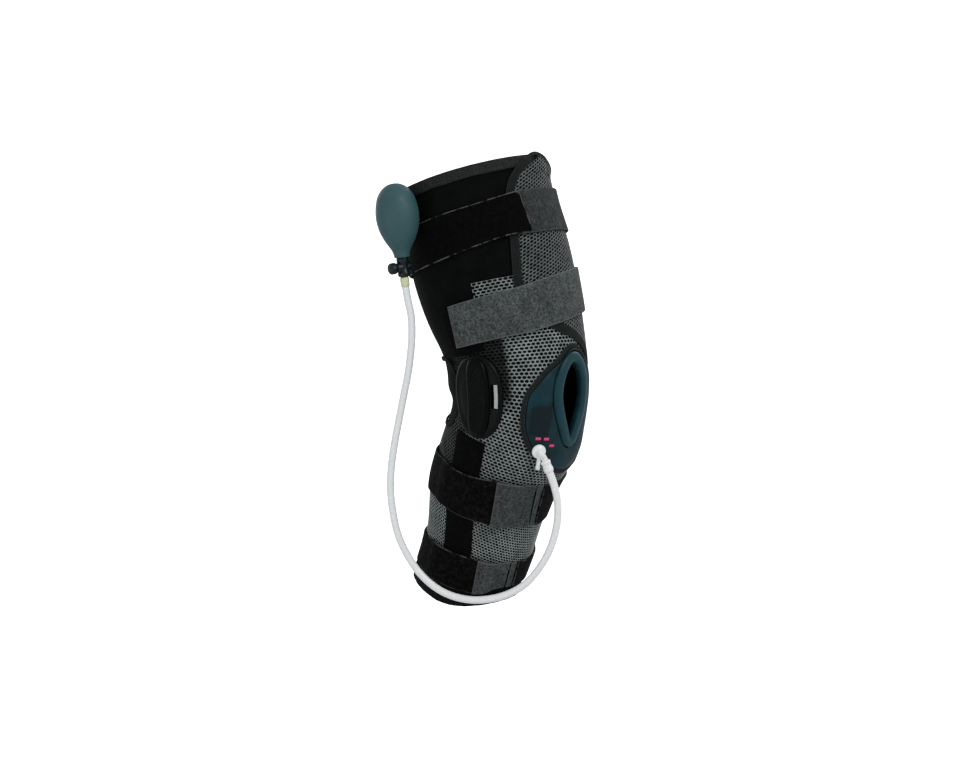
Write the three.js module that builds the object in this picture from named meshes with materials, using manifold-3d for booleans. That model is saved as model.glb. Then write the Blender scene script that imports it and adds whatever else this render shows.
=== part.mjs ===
// Cryotherapy knee brace, in millimetres.
// The origin is the knee centre on the hinge axis. +X is the front of the knee, -Y its outer side, +Z up.
// A place on the wrap is a height along Z, an angle round the leg in degrees (0 front, 90 outer side,
// 180 back, -90 inner side) and an offset outwards from the form of the leg.
import * as THREE from "three";
import { mergeVertices } from "three/addons/utils/BufferGeometryUtils.js";
import Module from "manifold-3d";

const wasm = await Module();
wasm.setup();

// Form of the wrap
const THIGH_LENGTH = 183;
const CALF_LENGTH = 190;
const KNEE_SIDE = 59;
const KNEE_FRONT = 54;
const KNEE_BACK = 63;
const THIGH_LEAN = 19;
const CALF_LEAN = 21;
const BEND_LENGTH = 35;
const RIM_RISE = 14;

// Cloth layers
const SLEEVE_WALL = 3;
const SLEEVE_FACE = 1.8;
const LAYER_GAP = 0.4;
const PANEL_THICK = 1.6;
const PANEL_SLACK = 0.3;
const BINDING_THICK = 1.8;
const STRAP_THICK = 2;
const TAB_THICK = 1.8;
const HEM_THICK = 1.2;
const HEM_HEIGHT = 9;
const BINDING_WIDTH = 8;
const SEAM_FRONT = 60;
const SEAM_SIDE = 92;
const SEAM_BACK = 41;
const CALF_SEAM = 84;
const SEAM_GAP = 0.4;
const STEP_GAP = 0.4;

// Straps: height of the middle, and width
const UPPER_STRAP_HEIGHT = 136;
const UPPER_STRAP_WIDTH = 34;
const WIDE_STRAP_HEIGHT = 62;
const WIDE_STRAP_WIDTH = 35;
const UPPER_CALF_HEIGHT = -85;
const UPPER_CALF_WIDTH = 40;
const LOWER_CALF_HEIGHT = -155;
const LOWER_CALF_WIDTH = 32;
const TAB_LAP = 7;
const SLOT_ANGLE = 2.5;
const LOOP_ANGLE = 6.5;
const UPPER_STRAP_START = [22, 24];
const UPPER_STRAP_END = [276, 276];
const UPPER_TAB_SPAN = [-92, 34];
const WIDE_STRAP_START = [-150, -150];
const WIDE_STRAP_END = [101.5, 98];

// Air pad, and the kneecap opening with its ring
const PAD_CENTRE = 1.5;
const PAD_TOP = 31;
const PAD_BOTTOM = 53;
const PAD_WIDTH = 107;
const PAD_THICK = 3.2;
const PAD_BINDING_WIDTH = 4;
const OPENING_TOP = 18.5;
const OPENING_BOTTOM = 25;
const OPENING_WIDTH = 30;
const RING_WIDTH = 10;
const RING_THICK = 4;
const RING_LIP = 2;
const HOLE_REACH = 8;
const PAD_EDGE = 0.45;
const BACK_PANEL_WIDTH = 136;
const BACK_PANEL_BOTTOM = 47;
const BACK_BINDING_WIDTH = 4;
const BACK_CENTRE = 180;

// Hinges
const HINGE_ANGLE = 91;
const HINGE_HEIGHT = 71;
const HINGE_WIDTH = 46;
const HINGE_THICK = 4;
const SPINE_ANGLE = 87.5;
const SPINE_HEIGHT = 66;
const SPINE_WIDTH = 19;
const SPINE_THICK = 4.2;
const STOP_HEIGHT = 17;
const STOP_WIDTH = 2.8;
const STOP_ANGLE = 71.5;
const STOP_RISE = 2.2;
const STOP_CENTRE = 2;
const SLOT_WIDTH = 6;
const SLOT_DEPTH = 1.9;
const COVER_SQUARENESS = 2.4;
const SPINE_SQUARENESS = 3.2;
const PLATE_COUNT = 16;
const POCKET_WIDTH = 32;
const POCKET_GAP = 2;

// Air line and hand pump
const TUBE_DIAMETER = 6.5;
const TUBE_SIDES = 8;
const TUBE_STEPS = 26;
const JOIN_GAP = 0.3;
const PUMP_GAP = 0.6;
const PORT_HEIGHT = -33;
const PORT_ANGLE = 35;
const PORT_DIAMETER = 12.4;
const PORT_THICK = 2.6;
const STEM_DIAMETER = 3.6;
const STEM_FOOT = { height: -46, angle: 33, offset: 8 };
const ARM_RISE = 3.4;
const ARM_BEND = 3;
const ARM_STEPS = 5;
const ARM_DIAMETER = 5.6;
const COUPLER_DIAMETER = 8.6;
const COUPLER_LENGTH = 9;
const FERRULE_DIAMETER = 8;
const FERRULE_LENGTH = 6;
const VALVE_DIAMETER = 10.5;
const VALVE_LENGTH = 16.5;
const BARREL_DIAMETER = 8;
const BARREL_REACH = 8;
const KNOB_DIAMETER = 10;
const KNOB_LENGTH = 5.5;
const KNOB_STEM_DIAMETER = 3;
const KNOB_STEM_LENGTH = 4;
const KNOB_CLEARANCE = 0.3;
const KNOB_HEADING = 253;
const BULB_DIAMETER = 37;
const BULB_LENGTH = 63;
const PUMP_LEAN_BACK = 4.8;
const PUMP_LEAN_OUT = 3.7;
const ROUND_SIDES = 10;
const BULB_SIDES = 14;

// The air tube's route from the port on the pad down, round under the calf and up to the pump: x, y, z.
const TUBE_ROUTE = [
  [51.6, -30.9, -62.5], [54.5, -28.9, -72.0], [57.2, -26.8, -85.0], [58.1, -26.1, -99.0],
  [56.6, -27.0, -115.0], [51.8, -30.4, -134.0], [43.5, -34.6, -150.4], [33.0, -39.4, -164.0],
  [19.7, -44.8, -173.4], [4.3, -51.0, -179.1], [-12.1, -58.0, -181.0], [-28.3, -65.1, -178.0],
  [-42.0, -70.6, -171.0], [-53.9, -75.9, -159.6], [-63.5, -80.4, -144.5], [-70.7, -84.6, -126.1],
  [-74.4, -87.2, -105.0], [-75.8, -88.4, -85.8], [-75.2, -88.0, -67.0], [-72.8, -86.4, -45.8],
  [-69.4, -83.9, -23.7], [-65.8, -81.5, -1.8], [-62.5, -79.6, 17.0], [-60.1, -78.5, 36.0],
  [-59.2, -78.0, 51.5], [-59.8, -78.3, 67.9], [-62.4, -79.4, 81.0], [-64.2, -80.4, 94.0],
].map(([x, y, z]) => new THREE.Vector3(x, y, z));

const CLEAR = SLEEVE_FACE + LAYER_GAP;
const PANEL_BASE = CLEAR + PANEL_SLACK;
const OVER_BINDING = PANEL_BASE + BINDING_THICK + LAYER_GAP + PANEL_SLACK;
const OVER_TAB = OVER_BINDING + TAB_THICK + LAYER_GAP;
const degrees = (angle) => THREE.MathUtils.degToRad(angle);
const girthAngle = (length) => THREE.MathUtils.radToDeg(length / KNEE_SIDE);
const lerp = THREE.MathUtils.lerp;

// Sections of the leg's form.
// station: share of the thigh length, or below the knee of the calf length.
// back, front, side: shares of the three knee radii.
const SECTIONS = [
  { station: -1.05, back: 0.73, front: 0.81, side: 0.76 },
  { station: -1.0, back: 0.73, front: 0.81, side: 0.76 },
  { station: -0.77, back: 0.75, front: 0.85, side: 0.8 },
  { station: -0.55, back: 0.94, front: 0.83, side: 0.86 },
  { station: -0.38, back: 0.95, front: 0.89, side: 0.92 },
  { station: -0.24, back: 0.92, front: 1.04, side: 0.95 },
  { station: -0.105, back: 0.91, front: 1.0, side: 0.97 },
  { station: 0, back: 1, front: 1, side: 1 },
  { station: 0.21, back: 1.0, front: 1.07, side: 1.02 },
  { station: 0.41, back: 1.14, front: 1.13, side: 1.08 },
  { station: 0.6, back: 1.19, front: 1.15, side: 1.12 },
  { station: 0.82, back: 1.1, front: 1.11, side: 1.12 },
  { station: 1.05, back: 1.11, front: 1.17, side: 1.15 },
];

// A smooth curve through the rows of a table, read at a place along its key column.
function readTable(rows, key, column, place) {
  const last = rows.length - 1;
  const at = THREE.MathUtils.clamp(place, rows[0][key], rows[last][key]);
  let i = 0;
  while (i < last - 1 && rows[i + 1][key] < at) i++;
  const slope = (k) => {
    const before = rows[Math.max(k - 1, 0)];
    const after = rows[Math.min(k + 1, last)];
    return (after[column] - before[column]) / (after[key] - before[key]);
  };
  const step = rows[i + 1][key] - rows[i][key];
  const t = (at - rows[i][key]) / step;
  return (
    (2 * t ** 3 - 3 * t ** 2 + 1) * rows[i][column] +
    (t ** 3 - 2 * t ** 2 + t) * step * slope(i) +
    (3 * t ** 2 - 2 * t ** 3) * rows[i + 1][column] +
    (t ** 3 - t ** 2) * step * slope(i + 1)
  );
}

// The leg is bent: its axis curves back above and below the knee, and its sections follow that slope.
function legPoint(height, angle, offset) {
  const station = height / (height > 0 ? THIGH_LENGTH : CALF_LENGTH);
  const lean = Math.tan(degrees(height > 0 ? THIGH_LEAN : CALF_LEAN));
  const reach = Math.hypot(height, BEND_LENGTH);
  const slope = (-lean * height) / reach;
  const forward = new THREE.Vector3(1, 0, -slope).normalize();
  const c = Math.cos(degrees(angle));
  const s = Math.sin(degrees(angle));
  const depth =
    c > 0
      ? KNEE_FRONT * readTable(SECTIONS, "station", "front", station)
      : KNEE_BACK * readTable(SECTIONS, "station", "back", station);
  const side = KNEE_SIDE * readTable(SECTIONS, "station", "side", station);
  const radius = 1 / Math.hypot(c / depth, s / side) + offset;
  return new THREE.Vector3(-lean * (reach - BEND_LENGTH), 0, height)
    .addScaledVector(forward, radius * c)
    .add(new THREE.Vector3(0, -radius * s, 0));
}

// How many millimetres of cloth one unit of height and one degree of angle cover at a place.
function clothScale(height, angle) {
  const here = legPoint(height, angle, SLEEVE_FACE);
  return {
    perHeight: here.distanceTo(legPoint(height + 1, angle, SLEEVE_FACE)),
    perDegree: here.distanceTo(legPoint(height, angle + 1, SLEEVE_FACE)),
  };
}

// The direction straight out of the cloth at a place.
function clothNormal(height, angle) {
  const here = legPoint(height, angle, 0);
  const upward = legPoint(height + 1, angle, 0).sub(here);
  const round = legPoint(height, angle + 1, 0).sub(here);
  return upward.cross(round).normalize();
}

// A path shifted on the cloth, to the left of its direction, by a distance in millimetres.
// On a closed outline that starts at its top and goes towards greater angles, left is outwards.
function shiftPath(path, distance, closed) {
  const last = path.length - 1;
  return path.map(({ height, angle }, i) => {
    const shift = valueAt(distance, i);
    const before = path[closed ? (i + last) % path.length : Math.max(i - 1, 0)];
    const after = path[closed ? (i + 1) % path.length : Math.min(i + 1, last)];
    const { perHeight, perDegree } = clothScale(height, angle);
    const rise = (after.height - before.height) * perHeight;
    const run = (after.angle - before.angle) * perDegree;
    const length = Math.hypot(rise, run);
    return {
      height: height + (shift * run) / length / perHeight,
      angle: angle - (shift * rise) / length / perDegree,
    };
  });
}

// Mesh building

function geometryFrom(points, faces) {
  let volume = 0;
  for (const [a, b, c] of faces) {
    volume += points[a].dot(points[b].clone().cross(points[c]));
  }
  const index = volume < 0 ? faces.flatMap(([a, b, c]) => [a, c, b]) : faces.flat();
  const geometry = new THREE.BufferGeometry().setFromPoints(points);
  geometry.setIndex(index);
  geometry.computeVertexNormals();
  return geometry;
}

// Faces between neighbouring rings of corners. Every ring has as many corners as the first.
function skinFaces(rings, closed) {
  const size = rings[0].length;
  const faces = [];
  const runs = closed ? rings.length : rings.length - 1;
  for (let i = 0; i < runs; i++) {
    const from = i * size;
    const to = ((i + 1) % rings.length) * size;
    for (let k = 0; k < size; k++) {
      const next = (k + 1) % size;
      faces.push([from + k, to + k, to + next], [from + k, to + next, from + next]);
    }
  }
  return faces;
}

// A strip: each ring goes along its outer face and back along its inner face.
function strip(rings, closed) {
  const size = rings[0].length;
  const faces = skinFaces(rings, closed);
  if (!closed) {
    const end = (rings.length - 1) * size;
    for (let k = 0; k < size / 2 - 1; k++) {
      const far = size - 1 - k;
      faces.push([k, k + 1, far - 1], [k, far - 1, far]);
      faces.push([end + k, end + far - 1, end + k + 1], [end + k, end + far, end + far - 1]);
    }
  }
  return geometryFrom(rings.flat(), faces);
}

// A lofted lump: closed rings one after the other, closed at both ends by a fan round a hub.
function loft(rings, hubs) {
  const size = rings[0].length;
  const faces = skinFaces(rings, false);
  const points = rings.flat();
  hubs.forEach((point, side) => {
    const hub = points.length;
    const ring = side * (rings.length - 1) * size;
    points.push(point);
    for (let k = 0; k < size; k++) {
      const here = ring + k;
      const next = ring + ((k + 1) % size);
      faces.push(side ? [hub, next, here] : [hub, here, next]);
    }
  });
  return geometryFrom(points, faces);
}

const valueAt = (value, ...place) => (typeof value === "function" ? value(...place) : value);

// Cloth laid on the leg. place(across, up) gives its height and angle, both running from 0 to 1.
// inner is its inner offset, or a function of height and angle, and thick its thickness, or a function of up.
function cloth({ place, columns, rows, inner, thick, closed = false }) {
  const rings = [];
  for (let i = 0; i < (closed ? columns : columns + 1); i++) {
    const outerRow = [];
    const innerRow = [];
    for (let j = 0; j <= rows; j++) {
      const { height, angle } = place(i / columns, j / rows);
      const from = valueAt(inner, height, angle);
      innerRow.unshift(legPoint(height, angle, from));
      outerRow.push(legPoint(height, angle, from + valueAt(thick, j / rows)));
    }
    rings.push([...outerRow, ...innerRow]);
  }
  return strip(rings, closed);
}

// A trim that follows a path. Its section is a list of corners: across is measured to the left of the path,
// and rise outwards from base, an offset or a function of height.
function trim(path, section, closed, base) {
  const lines = section.map(({ across }) => shiftPath(path, across, closed));
  const rings = path.map((_, i) =>
    section.map(({ rise }, k) => {
      const { height, angle } = lines[k][i];
      return legPoint(height, angle, valueAt(base, height) + rise);
    }),
  );
  return strip(rings, closed);
}

// Solids for cutting and joining

function solidOf(geometry) {
  const bare = geometry.clone();
  bare.deleteAttribute("normal");
  bare.deleteAttribute("uv");
  const merged = mergeVertices(bare, 1e-4);
  return new wasm.Manifold(
    new wasm.Mesh({
      numProp: 3,
      vertProperties: merged.attributes.position.array,
      triVerts: new Uint32Array(merged.index.array),
    }),
  );
}

function geometryOf(solid) {
  const mesh = solid.getMesh();
  const geometry = new THREE.BufferGeometry();
  geometry.setAttribute("position", new THREE.BufferAttribute(mesh.vertProperties, 3));
  geometry.setIndex(new THREE.BufferAttribute(mesh.triVerts, 1));
  geometry.computeVertexNormals();
  return geometry;
}

const cut = (body, tool) => geometryOf(solidOf(body).subtract(solidOf(tool)));
const join = (...bodies) => geometryOf(bodies.map(solidOf).reduce((all, one) => all.add(one)));

// Materials

const material = (color, roughness, metalness = 0) =>
  new THREE.MeshStandardMaterial({ color, roughness, metalness });

const BLACK_CLOTH = material("#17191b", 0.95);
const MESH_CLOTH = material("#6f7976", 0.9);
const GREY_FELT = material("#5d6361", 0.95);
const BINDING_TAPE = material("#4a4f4e", 0.9);
const PAD_VINYL = material("#2c4c55", 0.55);
const RING_VINYL = material("#4a7076", 0.45);
const HINGE_PLASTIC = material("#2b2d2e", 0.4);
const SPINE_PLASTIC = material("#1a1c1c", 0.35);
const STEEL = material("#c9cccc", 0.25, 1);
const CLEAR_PLASTIC = material("#eef2f1", 0.25);
const PALE_PLASTIC = material("#eef0d8", 0.4);
const BULB_RUBBER = material("#4d646b", 0.5);
const VALVE_PLASTIC = material("#1d3037", 0.35);

const brace = new THREE.Group();

function addPiece(name, geometry, surface, parent = brace) {
  const mesh = new THREE.Mesh(geometry, surface);
  mesh.name = name;
  parent.add(mesh);
  return mesh;
}

// Sleeves

// The seam between the thigh and knee sleeves steps up at FRONT_STEP and down at SIDE_STEP: degrees.
const FRONT_STEP = [38, 42];
const SIDE_STEP = [75, 80];
const SLEEVE_ANGLES = [
  0, 13, 26, ...FRONT_STEP, 53, 64, ...SIDE_STEP, 91, 103, 116, 129, 142, 155, 167, 180,
];
const ROUND_ANGLES = [
  ...SLEEVE_ANGLES,
  ...SLEEVE_ANGLES.slice(1, -1).reverse().map((angle) => -angle),
];

const seamHeight = (angle) => {
  const turn = Math.abs(angle);
  if (turn <= FRONT_STEP[0]) return SEAM_FRONT;
  return turn <= SIDE_STEP[0] ? SEAM_SIDE : SEAM_BACK;
};

// The bottom rim rises towards the shin.
function rimHeight(angle) {
  return -CALF_LENGTH + RIM_RISE * Math.max(Math.cos(degrees(angle)), 0) ** 2;
}

// The steps of the thigh sleeve's lower edge stand beside those of the knee sleeve's upper edge.
function besideStep(angle) {
  const turn = Math.abs(angle);
  if (FRONT_STEP.includes(turn)) return -STEP_GAP * Math.sign(angle);
  return SIDE_STEP.includes(turn) ? STEP_GAP * Math.sign(angle) : 0;
}

function sleeve(bottom, top, rows, aside = () => 0) {
  return cloth({
    place: (across, up) => {
      const angle = ROUND_ANGLES[Math.round(across * ROUND_ANGLES.length)];
      return { height: lerp(bottom(angle), top(angle), up), angle: angle + aside(angle) };
    },
    columns: ROUND_ANGLES.length,
    rows,
    inner: SLEEVE_FACE - SLEEVE_WALL,
    thick: SLEEVE_WALL,
    closed: true,
  });
}

// A folded hem of U section over a rim. turn is 1 at a top rim and -1 at a bottom one.
function hem(rim, turn) {
  const inside = SLEEVE_FACE - SLEEVE_WALL - LAYER_GAP;
  const corners = [
    { drop: HEM_HEIGHT, offset: CLEAR },
    { drop: HEM_HEIGHT, offset: CLEAR + HEM_THICK },
    { drop: 0, offset: CLEAR + HEM_THICK },
    { drop: 0, offset: inside - HEM_THICK },
    { drop: HEM_HEIGHT, offset: inside - HEM_THICK },
    { drop: HEM_HEIGHT, offset: inside },
    { drop: HEM_THICK, offset: inside },
    { drop: HEM_THICK, offset: CLEAR },
  ];
  const rings = ROUND_ANGLES.map((angle) =>
    corners.map(({ drop, offset }) => legPoint(rim(angle) - turn * drop, angle, offset)),
  );
  return strip(rings, true);
}

const HEM_FOLD = HEM_THICK + LAYER_GAP;
const topRim = () => THIGH_LENGTH;

// Paths on the cloth

// A closed outline: a table of shares of its top, bottom and half width, mirrored about a centre angle.
function outline({ rows, top, bottom, width, centre, count }) {
  const half = rows.map(
    ({ up, out }) =>
      new THREE.Vector3((out * girthAngle(width)) / 2, up * (up > 0 ? top : bottom), 0),
  );
  const other = half
    .slice(1, -1)
    .reverse()
    .map(({ x, y }) => new THREE.Vector3(-x, y, 0));
  const curve = new THREE.CatmullRomCurve3([...half, ...other], true, "centripetal");
  return curve
    .getSpacedPoints(count)
    .slice(0, count)
    .map(({ x, y }) => ({ height: y, angle: x + centre }));
}

// An oval path of a given squareness round a centre.
function oval({ height, width, angle, squareness, count }) {
  return Array.from({ length: count }, (_, i) => {
    const turn = (2 * Math.PI * i) / count;
    const bulge = (v) => Math.sign(v) * Math.abs(v) ** (2 / squareness);
    return {
      height: (bulge(Math.cos(turn)) * height) / 2,
      angle: angle + (bulge(Math.sin(turn)) * girthAngle(width)) / 2,
    };
  });
}

const OPENING_ROWS = [
  { up: 1, out: 0 }, { up: 0.9, out: 0.36 }, { up: 0.5, out: 0.84 }, { up: 0, out: 1 },
  { up: -0.33, out: 0.8 }, { up: -0.67, out: 0.42 }, { up: -0.92, out: 0.12 }, { up: -1, out: 0 },
];
const PAD_ROWS = [
  { up: 1, out: 0 }, { up: 0.94, out: 0.16 }, { up: 0.77, out: 0.33 }, { up: 0.55, out: 0.62 },
  { up: 0.32, out: 0.82 }, { up: 0.1, out: 0.96 }, { up: -0.13, out: 1.01 }, { up: -0.32, out: 1 },
  { up: -0.51, out: 0.91 }, { up: -0.66, out: 0.78 }, { up: -0.82, out: 0.55 },
  { up: -0.95, out: 0.28 }, { up: -1, out: 0 },
];
const BACK_ROWS = [
  { up: 1, out: 0 }, { up: 1, out: 0.5 }, { up: 0.9, out: 0.86 }, { up: 0.5, out: 1 },
  { up: 0, out: 1 }, { up: -0.5, out: 0.96 }, { up: -0.9, out: 0.8 }, { up: -1, out: 0.45 },
  { up: -1, out: 0 },
];
const RING_COUNT = 26;
const BACK_COUNT = 30;

const openingPath = outline({
  rows: OPENING_ROWS,
  top: OPENING_TOP,
  bottom: OPENING_BOTTOM,
  width: OPENING_WIDTH,
  centre: PAD_CENTRE,
  count: RING_COUNT,
});
const padPath = outline({
  rows: PAD_ROWS,
  top: PAD_TOP,
  bottom: PAD_BOTTOM,
  width: PAD_WIDTH,
  centre: PAD_CENTRE,
  count: RING_COUNT,
});
const backPath = outline({
  rows: BACK_ROWS,
  top: SEAM_BACK,
  bottom: BACK_PANEL_BOTTOM,
  width: BACK_PANEL_WIDTH,
  centre: BACK_CENTRE,
  count: BACK_COUNT,
});

// The free edge of the front flap, from the inner side of the knee over the kneecap, up the thigh and back
// along the top rim. up: share of the thigh length. angle: degrees.
const FLAP_EDGE = [
  { up: 0.0, angle: -64 }, { up: 0.03, angle: -53 }, { up: 0.085, angle: -36 },
  { up: 0.125, angle: -22 }, { up: 0.165, angle: -9 }, { up: 0.19, angle: 0 },
  { up: 0.212, angle: 11 }, { up: 0.245, angle: 23 }, { up: 0.285, angle: 33 },
  { up: 0.345, angle: 41 }, { up: 0.44, angle: 45 }, { up: 0.55, angle: 42.5 },
  { up: 0.645, angle: 39.5 }, { up: 0.74, angle: 37 }, { up: 0.84, angle: 33.5 },
  { up: 0.91, angle: 27 }, { up: 0.955, angle: 19 }, { up: 0.99, angle: 9 },
  { up: 1.01, angle: -2 }, { up: 1.0, angle: -14 }, { up: 0.97, angle: -28 },
  { up: 0.94, angle: -45 }, { up: 0.93, angle: -62 },
];
const FLAP_SEWN_ANGLE = -68;
const FLAP_SEWN_BOTTOM = 0.03;
const FLAP_SEWN_TOP = 0.925;
const FLAP_ROWS = 23;
const FLAP_BOUND_ROWS = 18;
const FLAP_COLUMNS = 9;

const flapCurve = new THREE.CatmullRomCurve3(
  FLAP_EDGE.map(({ up, angle }) => new THREE.Vector3(angle, up * THIGH_LENGTH, 0)),
  false,
  "centripetal",
);
const flapPath = flapCurve.getSpacedPoints(FLAP_ROWS).map(({ x, y }) => ({ height: y, angle: x }));
const underBinding = (row) => (row <= FLAP_BOUND_ROWS + 1 ? BINDING_WIDTH + LAYER_GAP : 0);
const flapInner = shiftPath(flapPath, underBinding, false);

// Over the top hem the flap lies one hem thickness further out.
function overHem(height) {
  const start = THIGH_LENGTH - 2 * HEM_HEIGHT;
  const share = THREE.MathUtils.smoothstep(height, start, THIGH_LENGTH - HEM_HEIGHT - 1);
  return PANEL_BASE + share * (HEM_THICK + LAYER_GAP);
}

// A strap's inner offset, from a list of layers below it: straight lines between { angle, offset }.
function layerAt(layers, angle) {
  const next = layers.findIndex((layer) => layer.angle >= angle);
  if (next === 0) return layers[0].offset;
  if (next < 0) return layers[layers.length - 1].offset;
  const from = layers[next - 1];
  const to = layers[next];
  return lerp(from.offset, to.offset, (angle - from.angle) / (to.angle - from.angle));
}

const STRAP_END = 3;
const WIDEST_STEP = 14;
const STRAP_ANGLES = [-360, 0, 360].flatMap((turn) => ROUND_ANGLES.map((angle) => angle + turn));

// A strap's columns: its slanted ends, the angles where its layers change, and the sleeve's angles elsewhere.
function strapColumns(start, end, layers) {
  const inside = (angle) => angle > Math.max(...start) + STRAP_END && angle < Math.min(...end) - STRAP_END;
  const changes = layers.map(({ angle }) => angle).filter(inside);
  const beside = STRAP_ANGLES.filter(
    (angle) => inside(angle) && changes.every((change) => Math.abs(change - angle) > 2 * STRAP_END),
  );
  const columns = [...changes, ...beside].sort((one, two) => one - two).map((angle) => [angle, angle]);
  return [start, ...columns, end].flatMap((column, i, all) => {
    const before = all[i - 1] ?? column;
    const middle = column.map((angle, k) => (angle + before[k]) / 2);
    const wide = column.some((angle, k) => angle - before[k] > WIDEST_STEP);
    return wide ? [middle, column] : [column];
  });
}

// A strap round the leg. Its table holds, for a few angles, its rise and its width as shares of its width.
// start and end are its two edges' angles, each at the bottom and at the top of the strap.
function strap({ middle, width, table, start, end, layers, thick, rows = 2 }) {
  const columns = strapColumns(start, end, layers);
  const place = (across, up) => {
    const angle = lerp(...columns[Math.round(across * (columns.length - 1))], up);
    const rise = readTable(table, "angle", "rise", angle);
    const share = readTable(table, "angle", "width", angle);
    return { height: middle + width * (rise + share * (up - 0.5)), angle };
  };
  return cloth({
    place,
    columns: columns.length - 1,
    rows,
    inner: (height, angle) => layerAt(layers, angle),
    thick,
  });
}

const UPPER_POCKET_SPAN = [79, 111];
const SLACK = 12;

const UPPER_STRAP_TABLE = [
  { angle: -80, rise: 0.04, width: 1.06 }, { angle: 20, rise: 0.03, width: 1.05 },
  { angle: 40, rise: 0.03, width: 0.95 }, { angle: 63, rise: -0.01, width: 0.97 },
  { angle: 92, rise: -0.05, width: 1.03 }, { angle: 130, rise: -0.08, width: 1.03 },
  { angle: 230, rise: -0.08, width: 1.03 }, { angle: 285, rise: 0.02, width: 1 },
];
const WIDE_STRAP_TABLE = [
  { angle: -150, rise: 0.34, width: 1 }, { angle: -90, rise: 0.36, width: 1 },
  { angle: -60, rise: 0.34, width: 1 }, { angle: -35, rise: 0.25, width: 1.02 },
  { angle: 18, rise: 0.07, width: 1.04 }, { angle: 45, rise: 0, width: 1.02 },
  { angle: 65, rise: 0, width: 1 }, { angle: 102, rise: -0.01, width: 1 },
];
const UPPER_CALF_TABLE = [
  { angle: -10, rise: 0.02, width: 1.02 }, { angle: 60, rise: 0.02, width: 1.02 },
  { angle: 78, rise: -0.03, width: 0.97 }, { angle: 95, rise: -0.07, width: 0.93 },
  { angle: 118, rise: -0.08, width: 0.92 }, { angle: 150, rise: -0.2, width: 0.88 },
  { angle: 210, rise: -0.2, width: 0.88 }, { angle: 242, rise: -0.08, width: 0.92 },
  { angle: 300, rise: 0.02, width: 1 }, { angle: 375, rise: 0.02, width: 1.02 },
];
const LOWER_CALF_TABLE = [
  { angle: -10, rise: 0.17, width: 0.75 }, { angle: 20, rise: 0.15, width: 0.76 },
  { angle: 40, rise: 0.08, width: 0.9 }, { angle: 55, rise: 0.03, width: 1 },
  { angle: 78, rise: -0.02, width: 1 }, { angle: 110, rise: -0.09, width: 0.95 },
  { angle: 150, rise: -0.25, width: 0.85 }, { angle: 210, rise: -0.25, width: 0.85 },
  { angle: 250, rise: -0.09, width: 0.95 }, { angle: 300, rise: 0.03, width: 1 },
  { angle: 340, rise: 0.15, width: 0.76 }, { angle: 375, rise: 0.17, width: 0.75 },
];

function addSleeves() {
  const upTo = (angle) => seamHeight(angle) - SEAM_GAP / 2;
  const from = (angle) => seamHeight(angle) + SEAM_GAP / 2;
  const calfTop = () => -CALF_SEAM - SEAM_GAP / 2;
  const kneeBottom = () => -CALF_SEAM + SEAM_GAP / 2;
  const calfBottom = (angle) => rimHeight(angle) + HEM_FOLD;
  const opening = shiftPath(openingPath, RING_LIP + LAYER_GAP, true);
  const reaches = [-HOLE_REACH, HOLE_REACH];
  const hole = loft(
    reaches.map((offset) => opening.map(({ height, angle }) => legPoint(height, angle, offset))),
    reaches.map((offset) => legPoint(0, PAD_CENTRE, offset)),
  );
  addPiece("thigh_sleeve", sleeve(from, () => THIGH_LENGTH - HEM_FOLD, 6, besideStep), BLACK_CLOTH);
  addPiece("knee_sleeve", cut(sleeve(kneeBottom, upTo, 11), hole), MESH_CLOTH);
  addPiece("calf_sleeve", sleeve(calfBottom, calfTop, 5), MESH_CLOTH);
  addPiece("top_hem", hem(topRim, 1), BINDING_TAPE);
  addPiece("bottom_hem", hem(rimHeight, -1), BLACK_CLOTH);
}

function addFrontFlap() {
  const place = (across, up) => {
    const edge = flapInner[Math.round(up * FLAP_ROWS)];
    const sewn = THIGH_LENGTH * lerp(FLAP_SEWN_BOTTOM, FLAP_SEWN_TOP, up);
    return {
      height: lerp(sewn, edge.height, across),
      angle: lerp(FLAP_SEWN_ANGLE, edge.angle, across),
    };
  };
  const panel = cloth({ place, columns: FLAP_COLUMNS, rows: FLAP_ROWS, inner: overHem, thick: PANEL_THICK });
  const tape = [
    { across: 0, rise: BINDING_THICK * 0.7 },
    { across: BINDING_WIDTH / 2, rise: BINDING_THICK },
    { across: BINDING_WIDTH, rise: BINDING_THICK * 0.7 },
    { across: BINDING_WIDTH, rise: 0 },
    { across: BINDING_WIDTH / 2, rise: 0 },
    { across: 0, rise: 0 },
  ];
  const bound = flapPath.slice(0, FLAP_BOUND_ROWS + 1);
  addPiece("thigh_front_panel", panel, MESH_CLOTH);
  addPiece("front_panel_binding", trim(bound, tape, false, overHem), BINDING_TAPE);
}

function addBackBinding() {
  const width = BACK_BINDING_WIDTH;
  const tape = [
    { across: -width, rise: 0 },
    { across: -width, rise: HEM_THICK },
    { across: 0, rise: HEM_THICK },
    { across: 0, rise: 0 },
  ];
  addPiece("back_binding", trim(backPath, tape, true, CLEAR), BLACK_CLOTH);
}

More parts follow.
